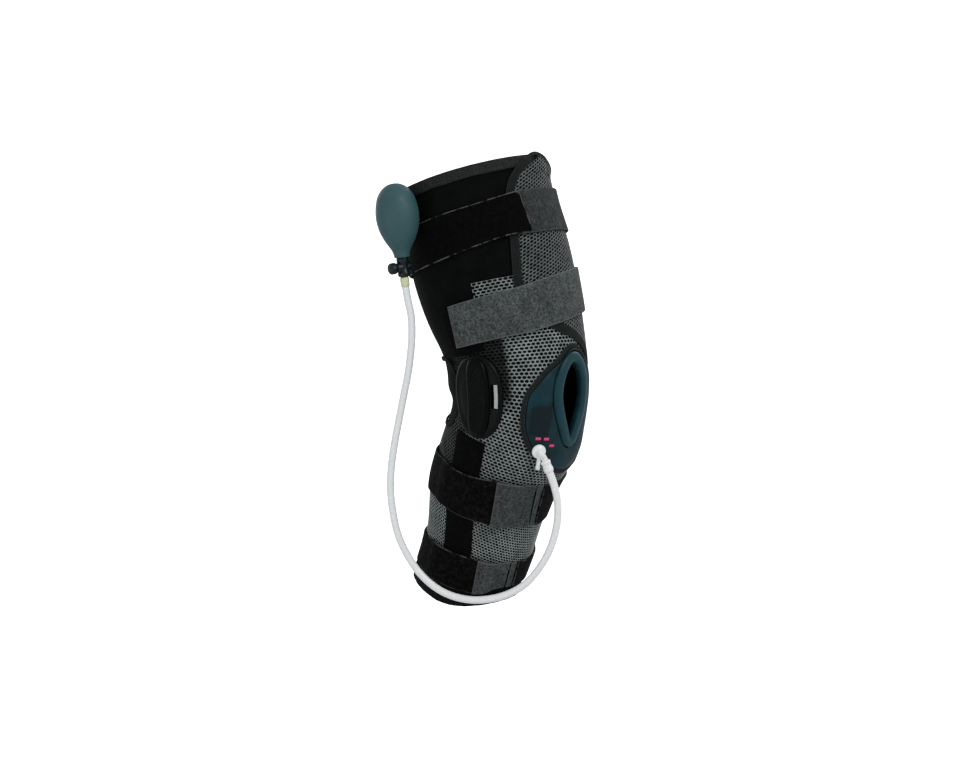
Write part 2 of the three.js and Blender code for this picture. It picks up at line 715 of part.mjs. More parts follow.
function addAirPad() {
  const ringEdge = shiftPath(openingPath, RING_WIDTH + LAYER_GAP, true);
  const padEdge = shiftPath(padPath, -PAD_BINDING_WIDTH - LAYER_GAP, true);
  const place = (across, up) => {
    const i = Math.round(across * RING_COUNT) % RING_COUNT;
    return {
      height: lerp(ringEdge[i].height, padEdge[i].height, up),
      angle: lerp(ringEdge[i].angle, padEdge[i].angle, up),
    };
  };
  const crown = (up) => PAD_THICK * (PAD_EDGE + (1 - PAD_EDGE) * Math.sin(Math.PI * up) ** 0.6);
  const pad = cloth({ place, columns: RING_COUNT, rows: 3, inner: CLEAR, thick: crown, closed: true });
  const tape = [
    { across: -PAD_BINDING_WIDTH, rise: 0 },
    { across: -PAD_BINDING_WIDTH, rise: BINDING_THICK * 0.8 },
    { across: -PAD_BINDING_WIDTH / 2, rise: BINDING_THICK },
    { across: 0, rise: BINDING_THICK * 0.6 },
    { across: 0, rise: 0 },
  ];
  const skin = SLEEVE_FACE - SLEEVE_WALL;
  const shoulder = RING_WIDTH / 6;
  const ring = [
    { across: 0, rise: skin },
    { across: 0, rise: CLEAR + RING_THICK * 0.2 },
    { across: shoulder, rise: CLEAR + RING_THICK * 0.75 },
    { across: RING_WIDTH / 2, rise: CLEAR + RING_THICK },
    { across: RING_WIDTH - shoulder, rise: CLEAR + RING_THICK * 0.75 },
    { across: RING_WIDTH, rise: CLEAR + RING_THICK * 0.2 },
    { across: RING_WIDTH, rise: CLEAR },
    { across: RING_LIP, rise: CLEAR },
    { across: RING_LIP, rise: skin },
  ];
  addPiece("knee_pad", pad, PAD_VINYL);
  addPiece("pad_binding", trim(padPath, tape, true, CLEAR), BINDING_TAPE);
  addPiece("pad_ring", trim(openingPath, ring, true, 0), RING_VINYL);
}

function addThighStraps() {
  const [innerEnd, tabEdge] = UPPER_TAB_SPAN;
  const upper = {
    middle: UPPER_STRAP_HEIGHT,
    width: UPPER_STRAP_WIDTH,
    table: UPPER_STRAP_TABLE,
  };
  const pocketEnd = -UPPER_POCKET_SPAN[1] - STRAP_END;
  const black = strap({
    ...upper,
    start: UPPER_STRAP_START,
    end: UPPER_STRAP_END,
    layers: [
      { angle: tabEdge + STRAP_END, offset: OVER_TAB },
      { angle: tabEdge + SLACK, offset: OVER_BINDING },
      { angle: tabEdge + 2 * SLACK, offset: PANEL_BASE },
    ],
    thick: STRAP_THICK,
  });
  const tab = strap({
    ...upper,
    start: [innerEnd, innerEnd],
    end: [tabEdge, tabEdge],
    layers: [{ angle: innerEnd, offset: OVER_BINDING }],
    thick: TAB_THICK,
  });
  const wide = strap({
    middle: WIDE_STRAP_HEIGHT,
    width: WIDE_STRAP_WIDTH,
    table: WIDE_STRAP_TABLE,
    start: WIDE_STRAP_START,
    end: WIDE_STRAP_END,
    layers: [
      { angle: pocketEnd - SLACK, offset: CLEAR },
      { angle: pocketEnd, offset: OVER_BINDING },
    ],
    thick: STRAP_THICK,
  });
  addPiece("upper_thigh_strap", black, BLACK_CLOTH);
  addPiece("upper_thigh_tab", tab, GREY_FELT);
  addPiece("wide_thigh_strap", wide, GREY_FELT);
}

// A calf strap: the black strap, the grey tab over its end, and the folded loop beside the tab.
// tabFrom and tabTo are the tab's front and rear edges, at the bottom and at the top, and pocket holds
// the two edges of the hinge pockets that the strap crosses on both sides.
function addCalfStrap(name, { laid, tabFrom, tabTo, pocket }) {
  const less = (edges, by) => edges.map((angle) => angle - by);
  const underTab = less(tabTo, TAB_LAP);
  const loopTo = less(tabFrom, SLOT_ANGLE);
  const loopFrom = less(loopTo, LOOP_ANGLE);
  const front = pocket[0] - STRAP_END;
  const back = pocket[1] + STRAP_END;
  const black = strap({
    ...laid,
    start: underTab,
    end: less(loopFrom, SLOT_ANGLE - 360),
    layers: [
      { angle: back, offset: OVER_BINDING },
      { angle: back + SLACK, offset: CLEAR },
      { angle: 360 - back - SLACK, offset: CLEAR },
      { angle: 360 - back, offset: OVER_BINDING },
      { angle: 360 - front, offset: OVER_BINDING },
      { angle: 360 - front + SLACK, offset: PANEL_BASE },
    ],
    thick: STRAP_THICK,
  });
  const tab = strap({
    ...laid,
    start: tabFrom,
    end: tabTo,
    layers: [
      { angle: underTab[0] - STRAP_END - SLACK, offset: PANEL_BASE },
      { angle: underTab[0] - STRAP_END, offset: OVER_BINDING + STRAP_THICK + LAYER_GAP },
    ],
    thick: TAB_THICK,
  });
  const loop = strap({
    ...laid,
    start: loopFrom,
    end: loopTo,
    layers: [{ angle: 0, offset: PANEL_BASE }],
    thick: TAB_THICK,
  });
  addPiece(name + "_strap", black, BLACK_CLOTH);
  addPiece(name + "_tab", tab, GREY_FELT);
  addPiece(name + "_loop", loop, GREY_FELT);
}

function addCalfStraps() {
  addCalfStrap("upper_calf", {
    laid: { middle: UPPER_CALF_HEIGHT, width: UPPER_CALF_WIDTH, table: UPPER_CALF_TABLE, rows: 3 },
    tabFrom: [12, 24],
    tabTo: [56, 61],
    pocket: [72, 109],
  });
  addCalfStrap("lower_calf", {
    laid: { middle: LOWER_CALF_HEIGHT, width: LOWER_CALF_WIDTH, table: LOWER_CALF_TABLE, rows: 3 },
    tabFrom: [18, 21],
    tabTo: [52, 56],
    pocket: [61, 98],
  });
}

// Middle line of the pocket below a hinge. down: share of the calf length.
const POCKET_LINE = [
  { down: 0.2, angle: 95 }, { down: 0.35, angle: 93 }, { down: 0.55, angle: 88 },
  { down: 0.72, angle: 80 }, { down: 0.85, angle: 76 },
];

function addPockets(side, sideName) {
  const half = girthAngle(POCKET_WIDTH) / 2;
  const hingeEnd = HINGE_HEIGHT / 2 + POCKET_GAP;
  const upperTop = WIDE_STRAP_HEIGHT + WIDE_STRAP_WIDTH / 2 - POCKET_GAP;
  const upperMiddle = (UPPER_POCKET_SPAN[0] + UPPER_POCKET_SPAN[1]) / 2;
  const upper = cloth({
    place: (across, up) => ({
      height: lerp(hingeEnd, upperTop, up),
      angle: side * (upperMiddle + half * (2 * across - 1)),
    }),
    columns: 4,
    rows: 4,
    inner: CLEAR,
    thick: PANEL_THICK,
  });
  const lower = cloth({
    place: (across, up) => {
      const height = lerp(LOWER_CALF_HEIGHT, -hingeEnd, up);
      const middle = readTable(POCKET_LINE, "down", "angle", -height / CALF_LENGTH);
      return { height, angle: side * (middle + half * (2 * across - 1)) };
    },
    columns: 4,
    rows: 8,
    inner: CLEAR,
    thick: PANEL_THICK,
  });
  addPiece("upper_pocket_" + sideName, upper, BLACK_CLOTH);
  addPiece("lower_pocket_" + sideName, lower, BLACK_CLOTH);
}

// A rounded plate on the cloth, its edge given by rows of scale and offset from the inside out.
function plate(shape, rows) {
  const rings = rows.map(({ scale, offset }) =>
    oval({ ...shape, height: shape.height * scale, width: shape.width * scale }).map(
      ({ height, angle }) => legPoint(height, angle, offset),
    ),
  );
  const hubs = [rows[0], rows[rows.length - 1]].map(({ offset }) => legPoint(0, shape.angle, offset));
  return loft(rings, hubs);
}

function addHinge(side, sideName) {
  const face = PANEL_BASE + HINGE_THICK;
  const cover = plate(
    {
      height: HINGE_HEIGHT,
      width: HINGE_WIDTH,
      angle: side * HINGE_ANGLE,
      squareness: COVER_SQUARENESS,
      count: PLATE_COUNT,
    },
    [
      { scale: 0.5, offset: PANEL_BASE },
      { scale: 1, offset: PANEL_BASE },
      { scale: 1, offset: PANEL_BASE + HINGE_THICK * 0.5 },
      { scale: 0.96, offset: PANEL_BASE + HINGE_THICK * 0.85 },
      { scale: 0.88, offset: face },
      { scale: 0.45, offset: face },
    ],
  );
  // A block along the front edge of the cover: height, from and width are its place on the cloth.
  const frontBlock = ({ height, from, width, inner, thick }) =>
    cloth({
      place: (across, up) => ({
        height: STOP_CENTRE + height * (up - 0.5),
        angle: side * (STOP_ANGLE + girthAngle(from + width * across)),
      }),
      columns: 1,
      rows: 2,
      inner,
      thick,
    });
  const slot = frontBlock({
    height: STOP_HEIGHT + 2 * LAYER_GAP,
    from: 0,
    width: SLOT_WIDTH,
    inner: face - SLOT_DEPTH,
    thick: 3 * SLOT_DEPTH,
  });
  const stop = frontBlock({
    height: STOP_HEIGHT,
    from: LAYER_GAP,
    width: STOP_WIDTH,
    inner: face - SLOT_DEPTH + LAYER_GAP,
    thick: STOP_RISE,
  });
  const base = face + LAYER_GAP;
  const spine = plate(
    {
      height: SPINE_HEIGHT,
      width: SPINE_WIDTH,
      angle: side * SPINE_ANGLE,
      squareness: SPINE_SQUARENESS,
      count: PLATE_COUNT,
    },
    [
      { scale: 0.5, offset: base },
      { scale: 1, offset: base },
      { scale: 1, offset: base + SPINE_THICK * 0.5 },
      { scale: 0.93, offset: base + SPINE_THICK * 0.85 },
      { scale: 0.75, offset: base + SPINE_THICK },
      { scale: 0.4, offset: base + SPINE_THICK },
    ],
  );
  addPiece("hinge_cover_" + sideName, cut(cover, slot), HINGE_PLASTIC);
  addPiece("hinge_stop_" + sideName, stop, STEEL);
  addPiece("hinge_spine_" + sideName, spine, SPINE_PLASTIC);
}

// Air line

// A turned piece: its profile is a list of [radius, height], and its axis is +Z.
function turned(profile, sides = ROUND_SIDES) {
  const points = profile.map(([radius, height]) => new THREE.Vector2(radius, height));
  return new THREE.LatheGeometry(points, sides).rotateX(Math.PI / 2);
}

const rod = (radius, length, bevel = 0) =>
  turned([
    [0, 0], [radius - bevel, 0], [radius, bevel], [radius, length - bevel],
    [radius - bevel, length], [0, length],
  ]);

// Turns and moves a geometry made along +Z so that it starts at a point and goes along a direction.
function aim(geometry, start, direction) {
  const turn = new THREE.Quaternion().setFromUnitVectors(
    new THREE.Vector3(0, 0, 1),
    direction.clone().normalize(),
  );
  return geometry.applyQuaternion(turn).translate(start.x, start.y, start.z);
}

const tubeCurve = new THREE.CatmullRomCurve3(TUBE_ROUTE, false, "centripetal");
const tubeStart = tubeCurve.getTangent(0);

function roundShape(diameter, sides) {
  return new THREE.Shape(
    Array.from({ length: sides }, (_, i) => {
      const turn = (2 * Math.PI * i) / sides;
      return new THREE.Vector2(Math.cos(turn), Math.sin(turn)).multiplyScalar(diameter / 2);
    }),
  );
}

function addTube() {
  const tube = new THREE.ExtrudeGeometry(roundShape(TUBE_DIAMETER, TUBE_SIDES), {
    extrudePath: tubeCurve,
    steps: TUBE_STEPS,
    bevelEnabled: false,
  });
  addPiece("air_tube", tube, CLEAR_PLASTIC);
}

function addPort() {
  const couplerEnd = TUBE_ROUTE[0].clone().addScaledVector(tubeStart, -JOIN_GAP);
  const couplerTop = couplerEnd.clone().addScaledVector(tubeStart, -COUPLER_LENGTH);
  const coupler = rod(COUPLER_DIAMETER / 2, COUPLER_LENGTH, 1);
  addPiece("tube_coupler", aim(coupler, couplerTop, tubeStart), CLEAR_PLASTIC);

  const outward = clothNormal(PORT_HEIGHT, PORT_ANGLE);
  const seat = legPoint(PORT_HEIGHT, PORT_ANGLE, CLEAR + PAD_THICK + LAYER_GAP);
  const hub = seat.clone().addScaledVector(outward, ARM_RISE);
  const armEnd = couplerTop.clone().addScaledVector(tubeStart, -JOIN_GAP);
  const aboveHub = hub.clone().addScaledVector(outward, ARM_BEND);
  const aboveEnd = armEnd.clone().addScaledVector(tubeStart, -ARM_BEND);
  const arm = new THREE.ExtrudeGeometry(roundShape(ARM_DIAMETER, ROUND_SIDES), {
    extrudePath: new THREE.CubicBezierCurve3(seat, aboveHub, aboveEnd, armEnd),
    steps: ARM_STEPS,
    bevelEnabled: false,
  });
  const radius = PORT_DIAMETER / 2;
  const flange = turned([
    [0, 0], [radius, 0], [radius, PORT_THICK * 0.6], [radius * 0.85, PORT_THICK], [0, PORT_THICK],
  ]);
  const stemHeading = legPoint(STEM_FOOT.height, STEM_FOOT.angle, STEM_FOOT.offset).sub(hub);
  const stem = rod(STEM_DIAMETER / 2, stemHeading.length(), 0.5);
  addPiece(
    "port_elbow",
    join(aim(flange, seat, outward), arm, aim(stem, hub, stemHeading)),
    CLEAR_PLASTIC,
  );
}

// The hand pump hangs on the end of the tube: ferrule, release valve with its thumb knob, and bulb.
// radius and up: shares of the bulb's radius and length.
const BULB_PROFILE = [
  { radius: 0, up: 0 }, { radius: 0.36, up: 0 }, { radius: 0.38, up: 0.05 }, { radius: 0.48, up: 0.12 },
  { radius: 0.7, up: 0.23 }, { radius: 0.9, up: 0.37 }, { radius: 1, up: 0.54 }, { radius: 0.96, up: 0.7 },
  { radius: 0.82, up: 0.84 }, { radius: 0.56, up: 0.94 }, { radius: 0.25, up: 0.99 }, { radius: 0, up: 1 },
];

function addPump() {
  const pump = new THREE.Group();
  pump.position.copy(TUBE_ROUTE[TUBE_ROUTE.length - 1]);
  pump.rotation.set(degrees(PUMP_LEAN_OUT), degrees(-PUMP_LEAN_BACK), 0);
  brace.add(pump);

  const ferruleBase = PUMP_GAP;
  const valveBase = ferruleBase + FERRULE_LENGTH + JOIN_GAP;
  const valveMiddle = valveBase + VALVE_LENGTH / 2;
  const bulbBase = valveBase + VALVE_LENGTH + JOIN_GAP;

  const ferrule = rod(FERRULE_DIAMETER / 2, FERRULE_LENGTH, 0.5);
  addPiece("tube_ferrule", ferrule, PALE_PLASTIC, pump).position.z = ferruleBase;

  const outward = new THREE.Vector3(Math.cos(degrees(KNOB_HEADING)), Math.sin(degrees(KNOB_HEADING)), 0);
  const middle = new THREE.Vector3(0, 0, VALVE_LENGTH / 2);
  const barrelStart = middle.clone().addScaledVector(outward, -BARREL_REACH);
  const stemEnd = BARREL_REACH - KNOB_STEM_LENGTH - KNOB_CLEARANCE;
  const boreStart = middle.clone().addScaledVector(outward, stemEnd - KNOB_CLEARANCE);
  const body = join(
    rod(VALVE_DIAMETER / 2, VALVE_LENGTH, 0.8),
    aim(rod(BARREL_DIAMETER / 2, 2 * BARREL_REACH, 0.5), barrelStart, outward),
  );
  const bore = aim(
    rod(KNOB_STEM_DIAMETER / 2 + KNOB_CLEARANCE, 2 * BARREL_REACH),
    boreStart,
    outward,
  );
  addPiece("valve_body", cut(body, bore), VALVE_PLASTIC, pump).position.z = valveBase;

  const radius = KNOB_DIAMETER / 2;
  const stem = KNOB_STEM_DIAMETER / 2;
  const knob = turned([
    [0, 0], [stem, 0], [stem, KNOB_STEM_LENGTH + KNOB_CLEARANCE],
    [radius, KNOB_STEM_LENGTH + KNOB_CLEARANCE],
    [radius, KNOB_STEM_LENGTH + KNOB_LENGTH * 0.8],
    [radius * 0.8, KNOB_STEM_LENGTH + KNOB_LENGTH],
    [0, KNOB_STEM_LENGTH + KNOB_LENGTH],
  ]);
  const knobStart = outward.clone().multiplyScalar(BARREL_REACH - KNOB_STEM_LENGTH);
  addPiece("valve_knob", aim(knob, knobStart, outward), VALVE_PLASTIC, pump).position.z = valveMiddle;

  const bulb = turned(
    BULB_PROFILE.map(({ radius: share, up }) => [(share * BULB_DIAMETER) / 2, up * BULB_LENGTH]),
    BULB_SIDES,
  );
  addPiece("pump_bulb", bulb, BULB_RUBBER, pump).position.z = bulbBase;
}

addSleeves();
addFrontFlap();
addBackBinding();
addAirPad();
addThighStraps();
addCalfStraps();
for (const [side, sideName] of [[1, "outer"], [-1, "inner"]]) {
  addPockets(side, sideName);
  addHinge(side, sideName);
}
addTube();
addPort();
addPump();

export default brace;
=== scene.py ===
# Looks of the knee brace. Sizes are in millimetres and angles in degrees; the finished meshes are in metres.
import math
import bmesh
import bpy
import numpy as np
from mathutils import Matrix, Vector


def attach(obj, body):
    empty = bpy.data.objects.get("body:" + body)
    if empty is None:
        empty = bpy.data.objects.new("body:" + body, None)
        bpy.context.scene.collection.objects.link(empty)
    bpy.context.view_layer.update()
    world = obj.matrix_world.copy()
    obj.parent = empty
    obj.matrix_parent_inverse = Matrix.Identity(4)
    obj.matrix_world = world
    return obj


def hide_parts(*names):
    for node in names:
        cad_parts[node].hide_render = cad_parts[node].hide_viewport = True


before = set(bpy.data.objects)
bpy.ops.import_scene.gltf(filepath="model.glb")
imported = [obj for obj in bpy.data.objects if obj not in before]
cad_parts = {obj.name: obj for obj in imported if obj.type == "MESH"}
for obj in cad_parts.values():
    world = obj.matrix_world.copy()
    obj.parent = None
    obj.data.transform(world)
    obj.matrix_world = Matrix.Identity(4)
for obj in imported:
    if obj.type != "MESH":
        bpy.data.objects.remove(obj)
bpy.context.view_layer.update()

MM = 0.001
BRACE = "brace"
KNOB = "release_knob"
RANDOM = np.random.default_rng(7)


def add(name, data):
    obj = bpy.data.objects.new(name, data)
    bpy.context.scene.collection.objects.link(obj)
    return obj


def aim(obj, place, rotation):
    obj.location = place
    obj.rotation_mode = "QUATERNION"
    obj.rotation_quaternion = rotation


# Camera: looks at the knee from the outer front, a little from above. Its distance and shifts are in metres.
AZIMUTH = 36
ELEVATION = 9
DISTANCE = 1.5
SHIFT_RIGHT = -0.0352
SHIFT_UP = 0.00352
LENS = 63.9
SENSOR_WIDTH = 36

azimuth, elevation = math.radians(AZIMUTH), math.radians(ELEVATION)
back = Vector((
    math.sin(azimuth) * math.cos(elevation),
    -math.cos(azimuth) * math.cos(elevation),
    math.sin(elevation),
))
right = Vector((math.cos(azimuth), math.sin(azimuth), 0))
up = back.cross(right)
camera = add("camera", bpy.data.cameras.new("camera"))
camera.data.lens = LENS
camera.data.sensor_width = SENSOR_WIDTH
camera.data.clip_end = 20
aim(camera, back * DISTANCE + right * SHIFT_RIGHT + up * SHIFT_UP,
    Matrix((right, up, back)).transposed().to_quaternion())
bpy.context.scene.camera = camera
bpy.context.scene.view_settings.view_transform = "Standard"

# Form of the wrap, as in the CAD model
THIGH_LENGTH = 183
CALF_LENGTH = 190
KNEE_SIDE = 59
KNEE_FRONT = 54
KNEE_BACK = 63
THIGH_LEAN = 19
CALF_LEAN = 21
BEND_LENGTH = 35
RIM_RISE = 14
SEAM_FRONT = 60
SEAM_SIDE = 92
SEAM_BACK = 41
SEAM_STEPS = (38, 42, 75, 80)
CALF_SEAM = 84

# Cloth layers
SLEEVE_WALL = 3
SLEEVE_FACE = 1.8
LAYER_GAP = 0.4
PANEL_THICK = 1.6
PANEL_SLACK = 0.3
BINDING_THICK = 1.8
BINDING_WIDTH = 8
STRAP_THICK = 2
TAB_THICK = 1.8
HEM_THICK = 1.2
HEM_HEIGHT = 9
CLEAR = SLEEVE_FACE + LAYER_GAP
PANEL_BASE = CLEAR + PANEL_SLACK
OVER_BINDING = PANEL_BASE + BINDING_THICK + LAYER_GAP + PANEL_SLACK
OVER_TAB = OVER_BINDING + TAB_THICK + LAYER_GAP

# Pad and ring
PAD_CENTRE = 1.5
PAD_THICK = 3.2
PAD_EDGE = 0.45
PAD_BINDING_WIDTH = 4
RING_WIDTH = 10
RING_THICK = 4
RING_LIP = 2
BACK_CENTRE = 180
BACK_BINDING_WIDTH = 4

# Straps: height of the middle, width, and rows of (angle, rise and width as shares of the width)
UPPER_STRAP = (136, 34)
WIDE_STRAP = (62, 35)
UPPER_CALF = (-85, 40)
LOWER_CALF = (-155, 32)
UPPER_TABLE = [
    (-80, 0.04, 1.06), (20, 0.03, 1.05), (40, 0.03, 0.95), (63, -0.01, 0.97), (92, -0.05, 1.03),
    (130, -0.08, 1.03), (230, -0.08, 1.03), (285, 0.02, 1),
]
WIDE_TABLE = [
    (-150, 0.34, 1), (-90, 0.36, 1), (-60, 0.34, 1), (-35, 0.25, 1.02), (18, 0.07, 1.04), (45, 0, 1.02),
    (65, 0, 1), (102, -0.01, 1),
]
UPPER_CALF_TABLE = [
    (-10, 0.02, 1.02), (60, 0.02, 1.02), (78, -0.03, 0.97), (95, -0.07, 0.93), (118, -0.08, 0.92),
    (150, -0.2, 0.88), (210, -0.2, 0.88), (242, -0.08, 0.92), (300, 0.02, 1), (375, 0.02, 1.02),
]
LOWER_CALF_TABLE = [
    (-10, 0.17, 0.75), (20, 0.15, 0.76), (40, 0.08, 0.9), (55, 0.03, 1), (78, -0.02, 1), (110, -0.09, 0.95),
    (150, -0.25, 0.85), (210, -0.25, 0.85), (250, -0.09, 0.95), (300, 0.03, 1), (340, 0.15, 0.76),
    (375, 0.17, 0.75),
]
TAB_ANGLE = -92
TAB_LAP = 7
SLOT_ANGLE = 2.5
LOOP_ANGLE = 6.5

# The leg's cross-sections: station, and shares of its back, front and side
SECTIONS = np.array([
    (-1.05, 0.73, 0.81, 0.76), (-1.0, 0.73, 0.81, 0.76), (-0.77, 0.75, 0.85, 0.8),
    (-0.55, 0.94, 0.83, 0.86), (-0.38, 0.95, 0.89, 0.92), (-0.24, 0.92, 1.04, 0.95),
    (-0.105, 0.91, 1.0, 0.97), (0, 1, 1, 1), (0.21, 1.0, 1.07, 1.02), (0.41, 1.14, 1.13, 1.08),
    (0.6, 1.19, 1.15, 1.12), (0.82, 1.1, 1.11, 1.12), (1.05, 1.11, 1.17, 1.15),
])


def cubic(t, one, slope_one, two, slope_two):
    """From one value to another, with the slope at each end."""
    return (
        (2 * t**3 - 3 * t**2 + 1) * one + (t**3 - 2 * t**2 + t) * slope_one
        + (3 * t**2 - 2 * t**3) * two + (t**3 - t**2) * slope_two
    )


def curve_through(keys, values, place):
    """A smooth curve through a table's rows, read at one place or many."""
    keys, values = np.asarray(keys, float), np.asarray(values, float)
    at = np.clip(place, keys[0], keys[-1])
    i = np.clip(np.searchsorted(keys, at, side="left") - 1, 0, len(keys) - 2)
    rows = np.arange(len(keys))
    before, after = np.maximum(rows - 1, 0), np.minimum(rows + 1, len(keys) - 1)
    slope = (values[after] - values[before]) / (keys[after] - keys[before])
    step = keys[i + 1] - keys[i]
    return cubic((at - keys[i]) / step, values[i], step * slope[i], values[i + 1], step * slope[i + 1])


def leg(height, angle, offset):
    """Points, in metres, at a height, an angle and an offset outwards from the leg's form."""
    height, angle, offset = np.broadcast_arrays(*(np.asarray(v, float) for v in (height, angle, offset)))
    station = np.where(height > 0, height / THIGH_LENGTH, height / CALF_LENGTH)
    lean = np.where(height > 0, math.tan(math.radians(THIGH_LEAN)), math.tan(math.radians(CALF_LEAN)))
    reach = np.hypot(height, BEND_LENGTH)
    slope = -lean * height / reach
    c, s = np.cos(np.radians(angle)), np.sin(np.radians(angle))
    rear, front, side = (
        size * curve_through(SECTIONS[:, 0], SECTIONS[:, k], station)
        for k, size in ((1, KNEE_BACK), (2, KNEE_FRONT), (3, KNEE_SIDE))
    )
    radius = 1 / np.hypot(c / np.where(c > 0, front, rear), s / side) + offset
    size = np.hypot(1, slope)
    x = -lean * (reach - BEND_LENGTH) + radius * c / size
    return np.stack([x, -radius * s, height - slope * radius * c / size], -1) * MM


def cloth_scale(height, angle):
    """Millimetres of cloth covered by one unit of height and by one degree."""
    here = leg(height, angle, SLEEVE_FACE)
    per_height = np.linalg.norm(leg(np.add(height, 1), angle, SLEEVE_FACE) - here, axis=-1) / MM
    per_degree = np.linalg.norm(leg(height, np.add(angle, 1), SLEEVE_FACE) - here, axis=-1) / MM
    return per_height, per_degree


def girth_angle(length):
    return math.degrees(length / KNEE_SIDE)


def number_at(source, *place):
    """A number given as it is, or the one that a function gives for a place."""
    return source(*place) if callable(source) else source


# Mesh making

def piece(name, verts, faces, material, node=None, uv=None, tone=None, body=BRACE, weld=True):
    """A mesh that rides on a body, with its cloth coordinates in millimetres and a tone for each corner."""
    mesh = bpy.data.meshes.new(name)
    mesh.from_pydata(np.asarray(verts).tolist(), [], [list(map(int, f)) for f in faces])
    if uv is not None:
        layer = mesh.uv_layers.new(name="cloth")
        corners = np.empty(len(mesh.loops), np.int32)
        mesh.loops.foreach_get("vertex_index", corners)
        layer.data.foreach_set("uv", np.asarray(uv, np.float32)[corners].ravel())
    if tone is not None:
        mesh.attributes.new("tone", "FLOAT", "POINT").data.foreach_set("value", np.asarray(tone, np.float32))
    if weld:
        work = bmesh.new()
        work.from_mesh(mesh)
        bmesh.ops.remove_doubles(work, verts=work.verts, dist=2e-6)
        bmesh.ops.recalc_face_normals(work, faces=work.faces)
        work.to_mesh(mesh)
        work.free()
    mesh.polygons.foreach_set("use_smooth", [True] * len(mesh.polygons))
    mesh.materials.append(material)
    obj = add(name, mesh)
    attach(obj, body)
    if node:
        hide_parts(node)
    return obj


def quads(shape, loop_rows=False, loop_columns=False):
    """Faces of a grid of points whose rows or columns may lead back to the first."""
    index = np.arange(shape[0] * shape[1]).reshape(shape[:2])
    beside = np.roll(index, -1, 0)
    grid = np.stack([index, beside, np.roll(beside, -1, 1), np.roll(index, -1, 1)], -1)
    return grid[:None if loop_rows else -1, :None if loop_columns else -1].reshape(-1, 4)


def two_sided(outer, inner, faces):
    """Points and faces of a shell. It closes where its two skins meet."""
    points = np.concatenate([outer.reshape(-1, 3), inner.reshape(-1, 3)])
    return points, np.concatenate([faces, faces[:, ::-1] + len(points) // 2])


def steps(length, step, edge):
    """Shares from 0 to 1 along a length, closer together within a rounded edge at each end."""
    near = np.array([0, 0.08, 0.3, 0.65, 1.0]) * edge / length
    count = max(int(round((length - 2 * edge) / step)), 1)
    middle = np.linspace(near[-1], 1 - near[-1], count + 1)
    return np.unique(np.round(np.concatenate([near, middle, 1 - near]), 9))


def rounded(away, edge):
    """Share of the full thickness at a distance from a rounded edge."""
    return np.sqrt(np.clip(1 - (1 - np.clip(away / edge, 0, 1)) ** 2, 0, 1))


def slab(name, place, size, base, thick, material, node=None, step=3.0, edge=0.9, closed=False,
         bump=None, tone=None):
    """Cloth with rounded edges. place(u, v) gives height and angle; base and thick are offsets."""
    length, width = size
    us = np.linspace(0, 1, int(length / step) + 1) if closed else steps(length, step, edge)
    u, v = np.meshgrid(us, steps(width, min(step, width / 3), edge), indexing="ij")
    height, angle = place(u, v)
    away = np.minimum(v, 1 - v) * width
    if not closed:
        away = np.minimum(away, np.minimum(u, 1 - u) * length)
    low = number_at(base, height, angle)
    half = number_at(thick, u, v) / 2
    lift = bump(u, v, height, angle) if bump else 0
    outer = leg(height, angle, low + half + half * rounded(away, edge) + lift)
    inner = leg(height, angle, low + half - half * rounded(away, edge))
    points, faces = two_sided(outer, inner, quads(u.shape))
    uv = np.stack([u * length, v * width], -1).reshape(-1, 2)
    marks = (tone(u, v, height, angle) if tone else away).ravel()
    return piece(name, points, faces, material, node, uv=np.tile(uv, (2, 1)), tone=np.tile(marks, 2))


def spaced(points, count, closed=False):
    """Centripetal curve through a list of points, cut into even steps of arc length."""
    p = np.asarray(points, float)
    if closed:
        p = np.concatenate([p[-1:], p, p[:2]])
    else:
        p = np.concatenate([[2 * p[0] - p[1]], p, [2 * p[-1] - p[-2]]])
    t = np.linspace(0, 1, 24, endpoint=False)[:, None]
    dense = []
    for p0, p1, p2, p3 in zip(p[:-3], p[1:-2], p[2:-1], p[3:]):
        t1, t2, t3 = (max(np.linalg.norm(b - a) ** 0.5, 1e-4) for a, b in ((p0, p1), (p1, p2), (p2, p3)))
        m1 = ((p1 - p0) / t1 - (p2 - p0) / (t1 + t2) + (p2 - p1) / t2) * t2
        m2 = ((p2 - p1) / t2 - (p3 - p1) / (t2 + t3) + (p3 - p2) / t3) * t2
        dense.append(cubic(t, p1, m1, p2, m2))
    dense = np.concatenate(dense + [p[-2][None]])
    run = np.concatenate([[0], np.cumsum(np.linalg.norm(np.diff(dense, axis=0), axis=1))])
    at = np.linspace(0, run[-1], count + 1)
    return np.stack([np.interp(at, run, dense[:, k]) for k in range(p.shape[1])], -1)


